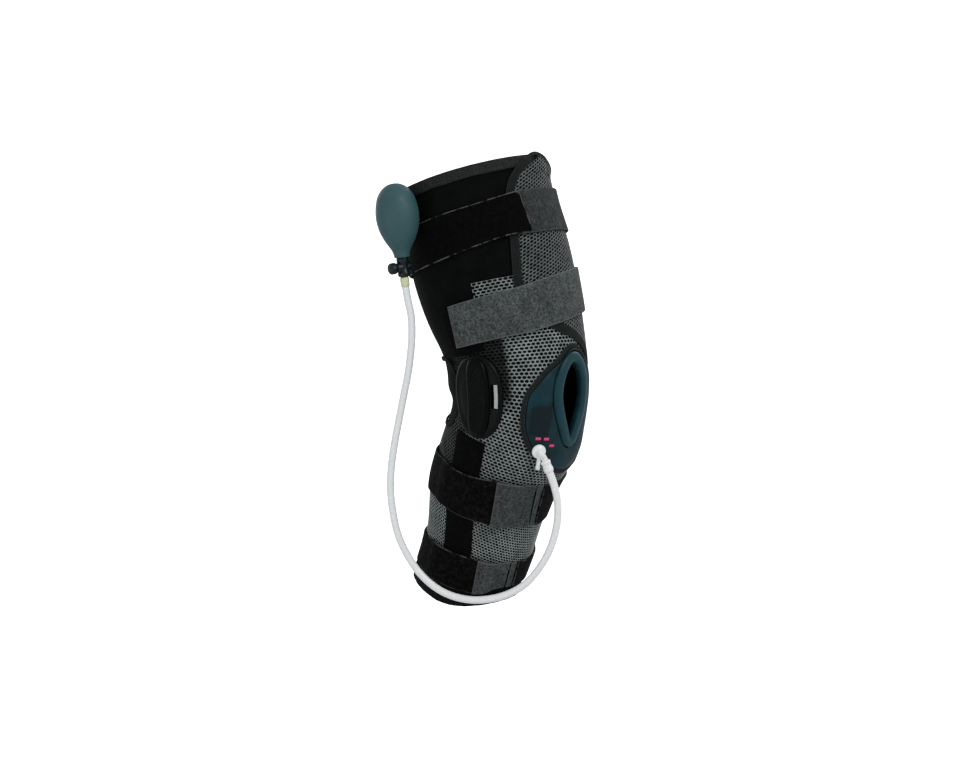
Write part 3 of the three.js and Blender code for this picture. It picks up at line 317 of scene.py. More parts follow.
class Path:
    """A path on the cloth: rows of (height, angle), with the direction to its left worked out."""

    def __init__(self, rows, closed=False):
        self.rows = np.asarray(rows, float)
        self.closed = closed
        h, a = self.rows.T
        per_height, per_degree = cloth_scale(h, a)
        ends = (self.rows[-2:-1], self.rows[1:2]) if closed else (self.rows[:1], self.rows[-1:])
        before, after = np.vstack([ends[0], self.rows[:-1]]), np.vstack([self.rows[1:], ends[1]])
        rise = (after[:, 0] - before[:, 0]) * per_height
        run = (after[:, 1] - before[:, 1]) * per_degree
        length = np.hypot(rise, run)
        self.left = np.stack([run / length / per_height, -rise / length / per_degree], -1)
        points = leg(h, a, SLEEVE_FACE)
        self.length = np.linalg.norm(np.diff(points, axis=0), axis=1).sum() / MM

    def at(self, share, across):
        """Height and angle at a share of the path's rows, moved to its left."""
        k = np.asarray(share) * (len(self.rows) - 1)
        rows = np.arange(len(self.rows))
        return [
            np.interp(k, rows, self.rows[:, j]) + np.asarray(across) * np.interp(k, rows, self.left[:, j])
            for j in range(2)
        ]

    def moved(self, across):
        return np.stack(self.at(np.linspace(0, 1, len(self.rows)), across), -1)


def tape(name, path, low, high, base, thick, material, node=None, bump=None):
    """A tape that lies along a path, from low to high across it."""
    def place(u, v):
        return path.at(u, low + (high - low) * v)

    size = (path.length, high - low)
    return slab(name, place, size, base, thick, material, node, 2.5, 0.8, path.closed, bump)


def wobble(*values, size=1.0, pitch=20.0):
    """Smooth small waves, from -size to size, that repeat nowhere nearby."""
    total = 0
    for k, value in enumerate(values):
        total = total + np.sin(value / pitch * (1 + 0.37 * k) + 1.3 * k)
        total = total + 0.6 * np.sin(value / pitch * 2.17 + 2.1 * k)
    return size * total / (1.6 * len(values))


# Materials

class Shade:
    """A material with a principled shader and short ways to add textures to it."""

    def __init__(self, name, colour, rough, gloss=0.5, **values):
        self.material = bpy.data.materials.new(name)
        self.material.use_nodes = True
        self.tree = self.material.node_tree
        self.shader = self.tree.nodes["Principled BSDF"]
        self.shader.inputs["Base Color"].default_value = (*colour, 1)
        self.shader.inputs["Roughness"].default_value = rough
        self.shader.inputs["Specular IOR Level"].default_value = gloss
        for key, value in values.items():
            self.shader.inputs[key.replace("_", " ")].default_value = value
        self.height = None

    def node(self, kind, **values):
        node = self.tree.nodes.new("ShaderNode" + kind)
        for key, value in values.items():
            setattr(node, key, value)
        return node

    def link(self, source, target):
        self.tree.links.new(source, target)

    def noise(self, size, detail=3, rough=0.6):
        """Noise whose blots are about size millimetres wide."""
        scale = self.node("Mapping")
        scale.inputs["Scale"].default_value = (1 / MM, 1 / MM, 1 / MM)
        self.link(self.node("TexCoord").outputs["Object"], scale.inputs["Vector"])
        noise = self.node("TexNoise")
        noise.inputs["Scale"].default_value = 1 / size
        noise.inputs["Detail"].default_value = detail
        noise.inputs["Roughness"].default_value = rough
        self.link(scale.outputs["Vector"], noise.inputs["Vector"])
        return noise.outputs["Fac"]

    def waves(self, pitch):
        """Ribs across the cloth's length."""
        wave = self.node("TexWave")
        wave.inputs["Scale"].default_value = math.pi / 10 / pitch
        self.link(self.node("UVMap", uv_map="cloth").outputs["UV"], wave.inputs["Vector"])
        return wave.outputs["Fac"]

    def tone(self):
        return self.node("Attribute", attribute_name="tone").outputs["Fac"]

    def ramp(self, source, *stops):
        """Two colour stops: place, and grey or colour."""
        ramp = self.node("ValToRGB")
        for element, (place, colour) in zip(ramp.color_ramp.elements, stops):
            element.position = place
            element.color = (*(colour if isinstance(colour, tuple) else (colour,) * 3), 1)
        self.link(source, ramp.inputs["Fac"])
        return ramp.outputs["Color"]

    def mix(self, factor, one, two, blend="MIX"):
        """Mixes two colours. Each value may be a socket."""
        mix = self.node("Mix", data_type="RGBA", blend_type=blend)
        wanted = (("Factor", "VALUE"), ("A", "RGBA"), ("B", "RGBA"))
        sockets = [socket for socket in mix.inputs if (socket.name, socket.type) in wanted]
        for socket, value in zip(sockets, (factor, one, two)):
            if isinstance(value, bpy.types.NodeSocket):
                self.link(value, socket)
            else:
                socket.default_value = (*value, 1) if socket.type == "RGBA" else value
        return next(socket for socket in mix.outputs if socket.type == "RGBA")

    def times(self, one, two):
        return self.mix(1.0, one, two, "MULTIPLY")

    def colour(self, source):
        self.link(source, self.shader.inputs["Base Color"])

    def roughness(self, source):
        self.link(source, self.shader.inputs["Roughness"])

    def bump(self, source, depth, strength=1.0):
        """Adds relief of a depth in millimetres, one layer over the other."""
        bump = self.node("Bump")
        bump.inputs["Strength"].default_value = strength
        bump.inputs["Distance"].default_value = depth * MM
        self.link(source, bump.inputs["Height"])
        if self.height:
            self.link(self.height, bump.inputs["Normal"])
        self.height = bump.outputs["Normal"]
        self.link(self.height, self.shader.inputs["Normal"])


COOL = (0.93, 1.03, 1.02)
WARM = (1.06, 1.0, 0.93)
PLAIN = (1, 1, 1)


def grey(value, tint=COOL):
    return tuple(value * t for t in tint)


def felt(name, base, edge_highlight):
    """Brushed loop fabric: speckled, with a painted highlight along its cut edge."""
    shade = Shade(name, grey(base), 0.95, 0.12, Sheen_Weight=0.02, Sheen_Roughness=0.6)
    speck = shade.ramp(shade.noise(2.0, 5, 0.8), (0.4, grey(base * 0.4)), (0.6, grey(base * 1.7)))
    body = shade.times(speck, shade.ramp(shade.noise(11, 3), (0.35, 0.75), (0.68, 1.2)))
    # Painted highlight: within about a millimetre of the cut edge the colour goes lighter.
    edge = shade.ramp(shade.tone(), (0.35, 1), (1.2, 0))
    shade.colour(shade.mix(edge, body, grey(base * edge_highlight)))
    shade.bump(shade.noise(0.9, 4, 0.8), 0.35, 0.8)
    shade.bump(shade.noise(5, 2), 0.5, 0.35)
    return shade.material


def black_loop(name, base, mottle, edge=None):
    """Black loop fabric of the straps, with brownish worn mottling and, if asked for, a broken painted
    highlight along its edges.
    """
    shade = Shade(name, grey(base, PLAIN), 0.92, 0.04, Sheen_Weight=0.01, Sheen_Roughness=0.5)
    cloud = shade.ramp(shade.noise(4, 6, 0.8), (0.48, grey(base, PLAIN)), (0.72, grey(mottle, WARM)))
    body = shade.times(cloud, shade.ramp(shade.noise(0.8, 4, 0.8), (0.35, 0.55), (0.7, 1.5)))
    if edge:
        # Painted highlight: a broken light line close to the strap's edges.
        highlight_breaks = shade.ramp(shade.noise(9, 4, 0.7), (0.44, 0.05), (0.54, 1))
        line = shade.times(shade.ramp(shade.tone(), (0.55, 1), (1.0, 0)), highlight_breaks)
        body = shade.mix(line, body, grey(edge, WARM))
    shade.colour(body)
    shade.bump(shade.noise(0.7, 4, 0.8), 0.3, 0.8)
    shade.bump(shade.noise(4, 3), 0.5, 0.35)
    return shade.material


def knit(name, base):
    """Smooth black knit face of the padded cloth."""
    shade = Shade(name, grey(base), 0.85, 0.04, Sheen_Weight=0.01, Sheen_Roughness=0.5)
    shade.colour(shade.ramp(shade.noise(14, 4, 0.6), (0.35, grey(base * 0.75)), (0.7, grey(base * 1.5))))
    shade.bump(shade.noise(0.5, 3, 0.8), 0.15, 0.6)
    shade.bump(shade.noise(9, 2), 0.8, 0.2)
    return shade.material


def net_yarn(name, base):
    """Yarn of the air mesh. Where the tone, which holds painted shade, is low it is almost black."""
    shade = Shade(name, grey(base), 0.8, 0.2, Sheen_Weight=0.03, Sheen_Roughness=0.4)
    yarn = shade.ramp(shade.noise(0.7, 3, 0.7), (0.3, grey(base * 0.65)), (0.7, grey(base * 1.35)))
    body = shade.times(yarn, shade.ramp(shade.noise(16, 3), (0.35, 0.75), (0.7, 1.15)))
    # Painted shade: where the tone is low, as behind the hinge, the yarn goes almost black.
    shade.colour(shade.mix(shade.tone(), grey(base * 0.03), body))
    shade.bump(shade.noise(0.45, 3, 0.8), 0.2, 0.7)
    return shade.material


def tape_weave(name, base, contrast=0.6):
    """Grosgrain binding tape, speckled, with ribs across it and a lighter edge."""
    shade = Shade(name, grey(base), 0.9, 0.1, Sheen_Weight=0.01)
    low, high = grey(base * (1 - contrast)), grey(base * (1 + contrast))
    speck = shade.ramp(shade.noise(1.0, 4, 0.8), (0.36, low), (0.66, high))
    body = shade.times(speck, shade.ramp(shade.waves(1.1), (0.2, 0.72), (0.7, 1.1)))
    shade.colour(shade.mix(shade.ramp(shade.tone(), (0.2, 1), (0.9, 0)), body, grey(base * 1.7)))
    shade.bump(shade.waves(1.1), 0.25, 0.7)
    shade.bump(shade.noise(0.6, 3, 0.8), 0.2, 0.6)
    return shade.material


def vinyl(name, base, light, rough):
    """Coated pad fabric. Where the tone is high it is lighter, which on the ring is a painted highlight along
    its crest, and where it is low darker and speckled.
    """
    sheen = {"Sheen_Weight": 0.03, "Sheen_Roughness": 0.35, "Sheen_Tint": (0.75, 0.9, 1, 1)}
    shade = Shade(name, base, rough, 0.2, **sheen)
    cloud = shade.ramp(shade.noise(18, 3), (0.35, base), (0.68, light))
    dark = shade.times(base, shade.ramp(shade.noise(0.9, 4, 0.8), (0.38, 0.35), (0.62, 1.1)))
    # Where the tone passes one half the colour goes lighter; on the ring that is the painted highlight of its
    # crest.
    lit = shade.mix(shade.ramp(shade.tone(), (0.5, 0), (1.0, 1)), cloud, light)
    shade.colour(shade.mix(shade.ramp(shade.tone(), (0.1, 1), (0.45, 0)), lit, dark))
    shade.roughness(shade.ramp(shade.noise(5, 3), (0.3, rough * 0.85), (0.7, min(rough * 1.2, 1))))
    shade.bump(shade.noise(0.5, 3, 0.7), 0.12, 0.5)
    shade.bump(shade.noise(9, 3), 0.8, 0.25)
    return shade.material


def plastic(name, colour, rough, grain=0.15, coat=0.0, **values):
    """Moulded plastic, rubber or metal, with uneven gloss and a fine grain."""
    shade = Shade(name, colour, rough, Coat_Weight=coat, Coat_Roughness=0.2, **values)
    shade.roughness(shade.ramp(shade.noise(3, 4, 0.7), (0.3, rough * 0.75), (0.7, min(rough * 1.35, 1))))
    if grain:
        shade.bump(shade.noise(0.4, 2, 0.7), 0.08, grain)
    return shade.material


KNIT = knit("black_knit", 0.003)
LINING = knit("dark_lining", 0.004)
# The last number of LOOP_BLACK and LOOP_CALF is the colour of the broken painted highlight along the strap
# edges.
LOOP_BLACK = black_loop("loop_black", 0.002, 0.005, 0.12)
LOOP_CALF = black_loop("loop_calf", 0.0022, 0.017, 0.06)
POCKET_CLOTH = black_loop("pocket_cloth", 0.0022, 0.006)
# The last number of each felt says how much lighter the painted highlight along its cut edge is.
FELT_TAB = felt("felt_tab", 0.036, 1.9)
FELT_CALF = felt("felt_calf", 0.054, 1.9)
FELT_WIDE = felt("felt_wide", 0.07, 2.0)
YARN = net_yarn("net_yarn", 0.29)
YARN_DARK = net_yarn("net_yarn_thigh", 0.14)
TAPE = tape_weave("binding_tape", 0.018)
TAPE_SMOOTH = tape_weave("binding_band", 0.015, 0.5)
HEM_TAPE = tape_weave("hem_tape", 0.026, 0.75)
HEM_BLACK = tape_weave("hem_black", 0.006, 0.6)
PAD = vinyl("pad_vinyl", (0.002, 0.014, 0.018), (0.003, 0.032, 0.043), 0.5)
# The ring's lighter colour serves its random clouds and also the painted highlight along its crest.
RING = vinyl("ring_vinyl", (0.003, 0.018, 0.024), (0.007, 0.048, 0.06), 0.38)
COVER = plastic("hinge_plastic", (0.003, 0.0035, 0.0035), 0.38, 0.2, gloss=0.09)
SPINE = plastic("spine_plastic", (0.0012, 0.0014, 0.0014), 0.36, 0.25, gloss=0.07)
# Painted shade: matte black for the sheet laid on the floor of each hinge slot.
SLOT_SHADE = plastic("recess", (0.001, 0.001, 0.001), 0.7, gloss=0.02)
STEEL = plastic("steel", (0.3, 0.31, 0.31), 0.34, 0.1, Metallic=1.0)
PVC = plastic("clear_pvc", (0.98, 0.985, 0.985), 0.3, 0, 0.2, Transmission_Weight=0.1, IOR=1.45)
FITTING = plastic("white_fitting", (0.95, 0.96, 0.96), 0.3, 0, 0.2, Transmission_Weight=0.05, IOR=1.45)
PALE = plastic("pale_ferrule", (0.72, 0.74, 0.5), 0.35)
RUBBER = plastic("bulb_rubber", (0.04, 0.1, 0.11), 0.5, 0.35, gloss=0.3)
VALVE = plastic("valve_plastic", (0.004, 0.01, 0.013), 0.3, 0.1, gloss=0.3)
PINK = plastic("pink_mark", (0.75, 0.05, 0.2), 0.5)
THREAD = plastic("thread", (0.03, 0.034, 0.034), 0.75, gloss=0.1)

# Air line: the tube's route from the port down, round under the calf and up to the pump, in metres
TUBE_DIAMETER = 6.5
TUBE_ROUTE = [
    (0.0516, -0.0309, -0.0625), (0.0545, -0.0289, -0.0720), (0.0572, -0.0268, -0.0850),
    (0.0581, -0.0261, -0.0990), (0.0566, -0.0270, -0.1150), (0.0518, -0.0304, -0.1340),
    (0.0435, -0.0346, -0.1504), (0.0330, -0.0394, -0.1640), (0.0197, -0.0448, -0.1734),
    (0.0043, -0.0510, -0.1791), (-0.0121, -0.0580, -0.1810), (-0.0283, -0.0651, -0.1780),
    (-0.0420, -0.0706, -0.1710), (-0.0539, -0.0759, -0.1596), (-0.0635, -0.0804, -0.1445),
    (-0.0707, -0.0846, -0.1261), (-0.0744, -0.0872, -0.1050), (-0.0758, -0.0884, -0.0858),
    (-0.0752, -0.0880, -0.0670), (-0.0728, -0.0864, -0.0458), (-0.0694, -0.0839, -0.0237),
    (-0.0658, -0.0815, -0.0018), (-0.0625, -0.0796, 0.0170), (-0.0601, -0.0785, 0.0360),
    (-0.0592, -0.0780, 0.0515), (-0.0598, -0.0783, 0.0679), (-0.0624, -0.0794, 0.0810),
    (-0.0642, -0.0804, 0.0940),
]
PORT_HEIGHT = -33
PORT_ANGLE = 35
ARM_RISE = 3.4
ARM_BEND = 3
ARM_RADIUS = 2.8
STEM_FOOT = (-46, 33, 8)
JOIN_GAP = 0.3
COUPLER_LENGTH = 9
PUMP_LEAN_OUT = 3.7
PUMP_LEAN_BACK = 4.8
PUMP_GAP = 0.3
FERRULE_BASE = 0.6
FERRULE_LENGTH = 6
VALVE_LENGTH = 16.5
BULB_SIZE = (18.5, 63)
KNOB_HEADING = 253
KNOB_GRIP = 4.4
KNURLS = 18
KNURL_DEPTH = 0.05

# Profiles of the turned pieces: rows of (radius, height)
COUPLER_ROWS = [
    (0, 0), (3.4, 0), (4.1, 0.4), (4.3, 1.2), (4.3, 2.6), (3.9, 3.0), (3.9, 6.2), (4.3, 6.6), (4.3, 9.0),
    (3.9, 10.4), (3.3, 10.6), (0, 10.6),
]
DISC_ROWS = [
    (0, 0), (6.2, 0), (6.2, 1.4), (5.9, 2.1), (5.2, 2.6), (3.4, 2.9), (3.0, 3.6), (2.6, 5.2), (1.6, 6.0),
    (0, 6.2),
]
FERRULE_ROWS = [
    (0, -2.4), (3.45, -2.4), (3.7, -2.1), (3.8, 0.5), (4, 1.4), (4, 4.6), (3.7, 5.4), (3.2, 6), (0, 6),
]
VALVE_ROWS = [
    (0, 0), (4.2, 0), (5.0, 0.7), (5.25, 1.6), (5.25, 4.4), (4.6, 5.1), (4.6, 11.2), (5.25, 12), (5.25, 15.6),
    (4.9, 16.5), (0, 16.5),
]
BARREL_ROWS = [
    (0, -8), (3.2, -8), (3.9, -7.3), (4, -6.4), (4, 7.1), (3.6, 7.7), (3.2, 7.7), (2.9, 7.0), (0, 7.0),
]
KNOB_ROWS = [
    (0, 4.3), (1.5, 4.3), (1.5, 8.2), (4.2, 8.2), (4.9, 8.7), (5, 9.4), (5, 12.4), (4.6, 13.2), (3.8, 13.7),
    (0, 13.5),
]
BULB_SHARES = [
    (0.36, 0), (0.38, 0.05), (0.48, 0.12), (0.7, 0.23), (0.9, 0.37), (1, 0.54), (0.96, 0.7), (0.82, 0.84),
    (0.56, 0.94), (0.25, 0.99), (0, 1),
]


def round_piece(name, profile, place, material, node=None, body=BRACE, sides=48):
    """A turned piece: rows of (radius, height) round +Z, put in place by a matrix."""
    turns = np.linspace(0, 2 * np.pi, sides + 1)[:-1]
    rows = np.array(profile, float)
    t, k = np.meshgrid(turns, np.arange(len(rows)), indexing="ij")
    radius, height = rows[k, 0], rows[k, 1]
    points = np.stack([radius * np.cos(t), radius * np.sin(t), height], -1).reshape(-1, 3) * MM
    moved = np.array([place @ Vector(p) for p in points])
    uv = np.stack([t * rows[:, 0].max(), height], -1).reshape(-1, 2)
    faces = quads(t.shape, loop_rows=True)
    return piece(name, moved, faces, material, node, uv=uv, tone=np.ones(len(points)), body=body)


def bent_rod(name, points, radius, material, sides=24):
    """A round rod along a list of points, flat at its ends. radius takes a share of its length."""
    normal = Vector((0, 0, 1)).cross(points[1] - points[0]).normalized()
    last = len(points) - 1
    verts = []
    for k, point in enumerate(points):
        tangent = (points[min(k + 1, last)] - points[max(k - 1, 0)]).normalized()
        normal = (normal - tangent * normal.dot(tangent)).normalized()
        side = tangent.cross(normal)
        for t in np.linspace(0, 2 * np.pi, sides + 1)[:-1]:
            verts.append(point + (normal * math.cos(t) + side * math.sin(t)) * radius(k / last) * MM)
    faces = quads((len(points), sides), loop_columns=True).tolist()
    faces += [list(range(sides))[::-1], [last * sides + j for j in range(sides)]]
    return piece(name, verts, faces, material)


def aimed(start, direction):
    turn = Vector((0, 0, 1)).rotation_difference(Vector(direction))
    return Matrix.Translation(Vector(start)) @ turn.to_matrix().to_4x4()


# Port on the pad, and the coupler of the tube
route = spaced(np.array(TUBE_ROUTE) / MM, 240) * MM
tube_start = Vector(route[1] - route[0]).normalized()
coupler_base = Vector(TUBE_ROUTE[0]) - tube_start * (JOIN_GAP + COUPLER_LENGTH) * MM
coupler = round_piece("port_coupler", COUPLER_ROWS, aimed(coupler_base, tube_start), FITTING,
                      "tube_coupler")
on_leg = leg([PORT_HEIGHT, PORT_HEIGHT + 1, PORT_HEIGHT], [PORT_ANGLE, PORT_ANGLE, PORT_ANGLE + 1], 0)
outward = Vector(np.cross(on_leg[1] - on_leg[0], on_leg[2] - on_leg[0])).normalized()
seat = Vector(leg(PORT_HEIGHT, PORT_ANGLE, CLEAR + PAD_THICK + LAYER_GAP))
hub = seat + outward * ARM_RISE * MM
foot = Vector(leg(*STEM_FOOT))
round_piece("port_disc", DISC_ROWS, aimed(seat, outward), FITTING, "port_elbow")
arm_end = coupler_base - tube_start * JOIN_GAP * MM
arm_out, arm_in = hub + outward * ARM_BEND * MM, arm_end - tube_start * ARM_BEND * MM
arm = [
    hub * (1 - t) ** 3 + arm_out * 3 * t * (1 - t) ** 2 + arm_in * 3 * t**2 * (1 - t) + arm_end * t**3
    for t in np.linspace(0, 1, 17)
]
bent_rod("port_arm", arm, lambda t: ARM_RADIUS, FITTING)
stem = [hub + (foot - hub) * t for t in np.linspace(0, 1, 9)]
bent_rod("port_tab", stem, lambda t: 1.8 if t < 0.8 else 2.1, FITTING)

# Tube
tube_data = bpy.data.curves.new("tube_line", "CURVE")
tube_data.dimensions = "3D"
tube_data.bevel_depth = TUBE_DIAMETER / 2 * MM
tube_data.bevel_resolution = 6
tube_data.use_fill_caps = True
spline = tube_data.splines.new("POLY")
spline.points.add(len(route) - 1)
for point, place in zip(spline.points, route):
    point.co = (*place, 1)
spline.use_smooth = True
tube_data.materials.append(PVC)
tube = add("tube_line", tube_data)
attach(tube, BRACE)
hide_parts("air_tube")

# Hand pump
lean_out = Matrix.Rotation(math.radians(PUMP_LEAN_OUT), 4, "X")
lean_back = Matrix.Rotation(math.radians(-PUMP_LEAN_BACK), 4, "Y")
PUMP = Matrix.Translation(Vector(TUBE_ROUTE[-1])) @ (lean_out @ lean_back)
valve_base = FERRULE_BASE + FERRULE_LENGTH + PUMP_GAP
bulb_base = valve_base + VALVE_LENGTH + PUMP_GAP


def above(height):
    return PUMP @ Matrix.Translation((0, 0, height * MM))


ferrule = round_piece("pump_ferrule", FERRULE_ROWS, above(FERRULE_BASE), PALE, "tube_ferrule")
round_piece("pump_valve", VALVE_ROWS, above(valve_base), VALVE, "valve_body")
heading = math.radians(KNOB_HEADING)
barrel = above(valve_base + VALVE_LENGTH / 2) @ aimed((0, 0, 0), (math.cos(heading), math.sin(heading), 0))
round_piece("valve_barrel", BARREL_ROWS, barrel, VALVE)
knob = round_piece("thumb_knob", KNOB_ROWS, barrel, VALVE, "valve_knob", body=KNOB, sides=72)
for vertex in knob.data.vertices:
    x, y, z = barrel.inverted() @ vertex.co
    if math.hypot(x, y) > KNOB_GRIP * MM:
        shrink = 1 - KNURL_DEPTH * (0.5 + 0.5 * math.cos(KNURLS * math.atan2(y, x)))
        vertex.co = barrel @ Vector((x * shrink, y * shrink, z))
bulb_rows = [(0, 0), *spaced(np.array(BULB_SHARES) * BULB_SIZE, 60)[:-1].tolist(), (0, BULB_SIZE[1])]
round_piece("squeeze_bulb", bulb_rows, above(bulb_base), RUBBER, "pump_bulb", sides=96)


# The wrap: outlines, rims and seams, as in the CAD model

CELL = np.array([(-1, -1), (0, -1), (1, -1), (1, 0), (1, 1), (0, 1), (-1, 1), (-1, 0)]) / 2
NET_FACE = SLEEVE_FACE - 0.1
UPPER_HIDES = 13
WIDE_HIDES = 13.5


def net(name, pitch, row, turn, centre, reach, keep, material, offset, hole, tone=None):
    """Air mesh: yarn round staggered oval holes, in the cells that keep(height, angle) picks."""
    degree = math.radians(1) * KNEE_SIDE
    i_max, j_max = int(reach[0] / pitch) + 1, int(reach[1] / row) + 1
    i, j = np.meshgrid(np.arange(-i_max, i_max + 1), np.arange(-j_max, j_max + 1), indexing="ij")
    p, q = (i + 0.5 * (j % 2)) * pitch, j * row
    c, s = math.cos(math.radians(turn)), math.sin(math.radians(turn))

    def to_cloth(p, q):
        return centre[0] - s * p + c * q, centre[1] + (c * p + s * q) / degree

    chosen = keep(*to_cloth(p, q))
    p, q = p[chosen][:, None], q[chosen][:, None]
    rim = CELL / np.linalg.norm(CELL, axis=1, keepdims=True) * hole
    soft = RANDOM.uniform(0.88, 1.1, (len(p), 1))
    points, tones = [], []
    for shape, size, rise in ((CELL, 1, 0.5), (rim, soft, 0.12)):
        h, a = to_cloth(p + shape[:, 0] * pitch * size, q + shape[:, 1] * row * size)
        points.append(leg(h, a, number_at(offset, h, a) + rise).reshape(-1, 3))
        tones.append((tone(h, a) if tone else np.ones(h.shape)).ravel())
    cell = np.arange(8 * len(p)).reshape(-1, 8)
    beside = np.roll(cell, -1, 1)
    faces = np.stack([cell, beside, beside + cell.size, cell + cell.size], -1).reshape(-1, 4)
    return piece(name, np.concatenate(points), faces, material, tone=np.concatenate(tones))


def inside(rows, h, a):
    """Whether places lie inside a closed outline of (height, angle) rows."""
    result = np.zeros(np.shape(h), bool)
    for (h0, a0), (h1, a1) in zip(rows, np.roll(rows, -1, 0)):
        with np.errstate(divide="ignore", invalid="ignore"):
            cut = h0 + (a - a0) * (h1 - h0) / (a1 - a0)
        result ^= ((a0 > a) != (a1 > a)) & (h < cut)
    return result


def wrap(angle):
    return (np.asarray(angle) + 180) % 360 - 180


def outline(rows, top, bottom, width, centre):
    """A closed path from shares of its top, bottom and half width, mirrored about a centre angle."""
    half = [(out * girth_angle(width) / 2, rise * (top if rise > 0 else bottom)) for rise, out in rows]
    points = spaced(half + [(-x, y) for x, y in half[1:-1][::-1]], 180, closed=True)
    return Path(np.stack([points[:, 1], points[:, 0] + centre], -1), closed=True)


opening = outline(
    [(1, 0), (0.9, 0.36), (0.5, 0.84), (0, 1), (-0.33, 0.8), (-0.67, 0.42), (-0.92, 0.12), (-1, 0)],
    18.5, 25, 30, PAD_CENTRE,
)
pad_rim = outline(
    [(1, 0), (0.94, 0.16), (0.77, 0.33), (0.55, 0.62), (0.32, 0.82), (0.1, 0.96), (-0.13, 1.01), (-0.32, 1),
     (-0.51, 0.91), (-0.66, 0.78), (-0.82, 0.55), (-0.95, 0.28), (-1, 0)],
    31, 53, 107, PAD_CENTRE,
)
back_rim = outline(
    [(1, 0), (1, 0.5), (0.9, 0.86), (0.5, 1), (0, 1), (-0.5, 0.96), (-0.9, 0.8), (-1, 0.45), (-1, 0)],
    SEAM_BACK, 47, 136, BACK_CENTRE,
)

# The flap's free edge: share of the thigh's length, and angle. Its bound part ends at FLAP_BOUND.
FLAP_EDGE = [
    (0.0, -64), (0.03, -53), (0.085, -36), (0.125, -22), (0.165, -9), (0.19, 0), (0.212, 11), (0.245, 23),
    (0.285, 33), (0.345, 41), (0.44, 45), (0.55, 42.5), (0.645, 39.5), (0.74, 37), (0.84, 33.5), (0.91, 27),
    (0.955, 19), (0.99, 9), (1.01, -2), (1.0, -14), (0.97, -28), (0.94, -45), (0.93, -62),
]
FLAP_BOUND = 18 / 23
FLAP_SEWN = -68
flap_rows = spaced([(angle, share * THIGH_LENGTH) for share, angle in FLAP_EDGE], 230)[:, ::-1]
flap_path = Path(flap_rows)
bound_rows = int(len(flap_rows) * FLAP_BOUND)


def over_hem(height, angle=0):
    """Offset of the flap's inner side, which rises over the top hem."""
    t = np.clip((height - THIGH_LENGTH + 2 * HEM_HEIGHT) / (HEM_HEIGHT - 1), 0, 1)
    return PANEL_BASE + t * t * (3 - 2 * t) * (HEM_THICK + LAYER_GAP)


def seam_height(angle):
    return np.interp(np.abs(wrap(angle)), SEAM_STEPS, [SEAM_FRONT, SEAM_SIDE, SEAM_SIDE, SEAM_BACK])


def rim_height(angle):
    return -CALF_LENGTH + RIM_RISE * np.maximum(np.cos(np.radians(angle)), 0) ** 2


# Sleeves: plain dark cloth, open at both rims and at the kneecap
SLEEVE_EDGE = 0.8
TURNS = np.arange(0, 360, 2.0)


def sleeve(name, bottom, top, material, node, inset=0.0):
    """One stretch of the wrap between its two rims, with rounded edges."""
    a, v = np.meshgrid(TURNS, steps(150, 3, SLEEVE_EDGE), indexing="ij")
    low, high = number_at(bottom, a), number_at(top, a)
    h = low + (high - low) * v
    soft = rounded(np.minimum(v, 1 - v) * (high - low), SLEEVE_EDGE)
    half = SLEEVE_WALL / 2
    middle = SLEEVE_FACE - inset / 2 - half
    outer = leg(h, a, middle + (half - inset / 2 + wobble(h, a, size=0.25, pitch=9)) * soft - 0.25)
    points, faces = two_sided(outer, leg(h, a, middle - half * soft), quads(a.shape, loop_rows=True))
    return piece(name, points, faces, material, node)


def cut_through(obj, rows, low, high):
    """Cuts a prism with a closed outline of (height, angle) rows out of an object."""
    rows = np.asarray(rows)[:-1]
    rings = [leg(rows[:, 0], rows[:, 1], offset) for offset in (low, high)]
    n = len(rows)
    mesh = bpy.data.meshes.new("cutter")
    sides = [[k, (k + 1) % n, n + (k + 1) % n, n + k] for k in range(n)]
    ends = [list(range(n))[::-1], list(range(n, 2 * n))]
    mesh.from_pydata(np.concatenate(rings).tolist(), [], ends + sides)
    cutter = add("cutter", mesh)
    work = bmesh.new()
    work.from_mesh(mesh)
    bmesh.ops.recalc_face_normals(work, faces=work.faces)
    work.to_mesh(mesh)
    work.free()
    modifier = obj.modifiers.new("cut", "BOOLEAN")
    modifier.object = cutter
    modifier.solver = "EXACT"
    bpy.context.view_layer.update()
    done = bpy.data.meshes.new_from_object(obj.evaluated_get(bpy.context.evaluated_depsgraph_get()))
    obj.modifiers.clear()
    obj.data = done
    bpy.data.objects.remove(cutter)


sleeve("thigh_wrap", lambda a: seam_height(a) - 0.7, THIGH_LENGTH - 1.6, KNIT, "thigh_sleeve")
knee_wrap = sleeve("knee_wrap", -CALF_SEAM - 0.7, lambda a: seam_height(a) - 0.3, LINING,
                   "knee_sleeve", inset=0.3)
cut_through(knee_wrap, opening.moved(RING_LIP + LAYER_GAP), -8, 8)
sleeve("calf_wrap", lambda a: rim_height(a) + 1.6, -CALF_SEAM - 0.3, LINING, "calf_sleeve",
       inset=0.3)


def band(name, height, angle, offset, along, across, tone, material, slot, node):
    """A closed section carried round the leg or round an opening."""
    uv = np.stack([along, across], -1).reshape(-1, 2)
    points = leg(height, angle, offset).reshape(-1, 3)
    faces = quads(height.shape, True, True)
    return piece(name, points, faces, material, node, uv=uv, tone=tone.ravel())


# Folded hems of the two rims

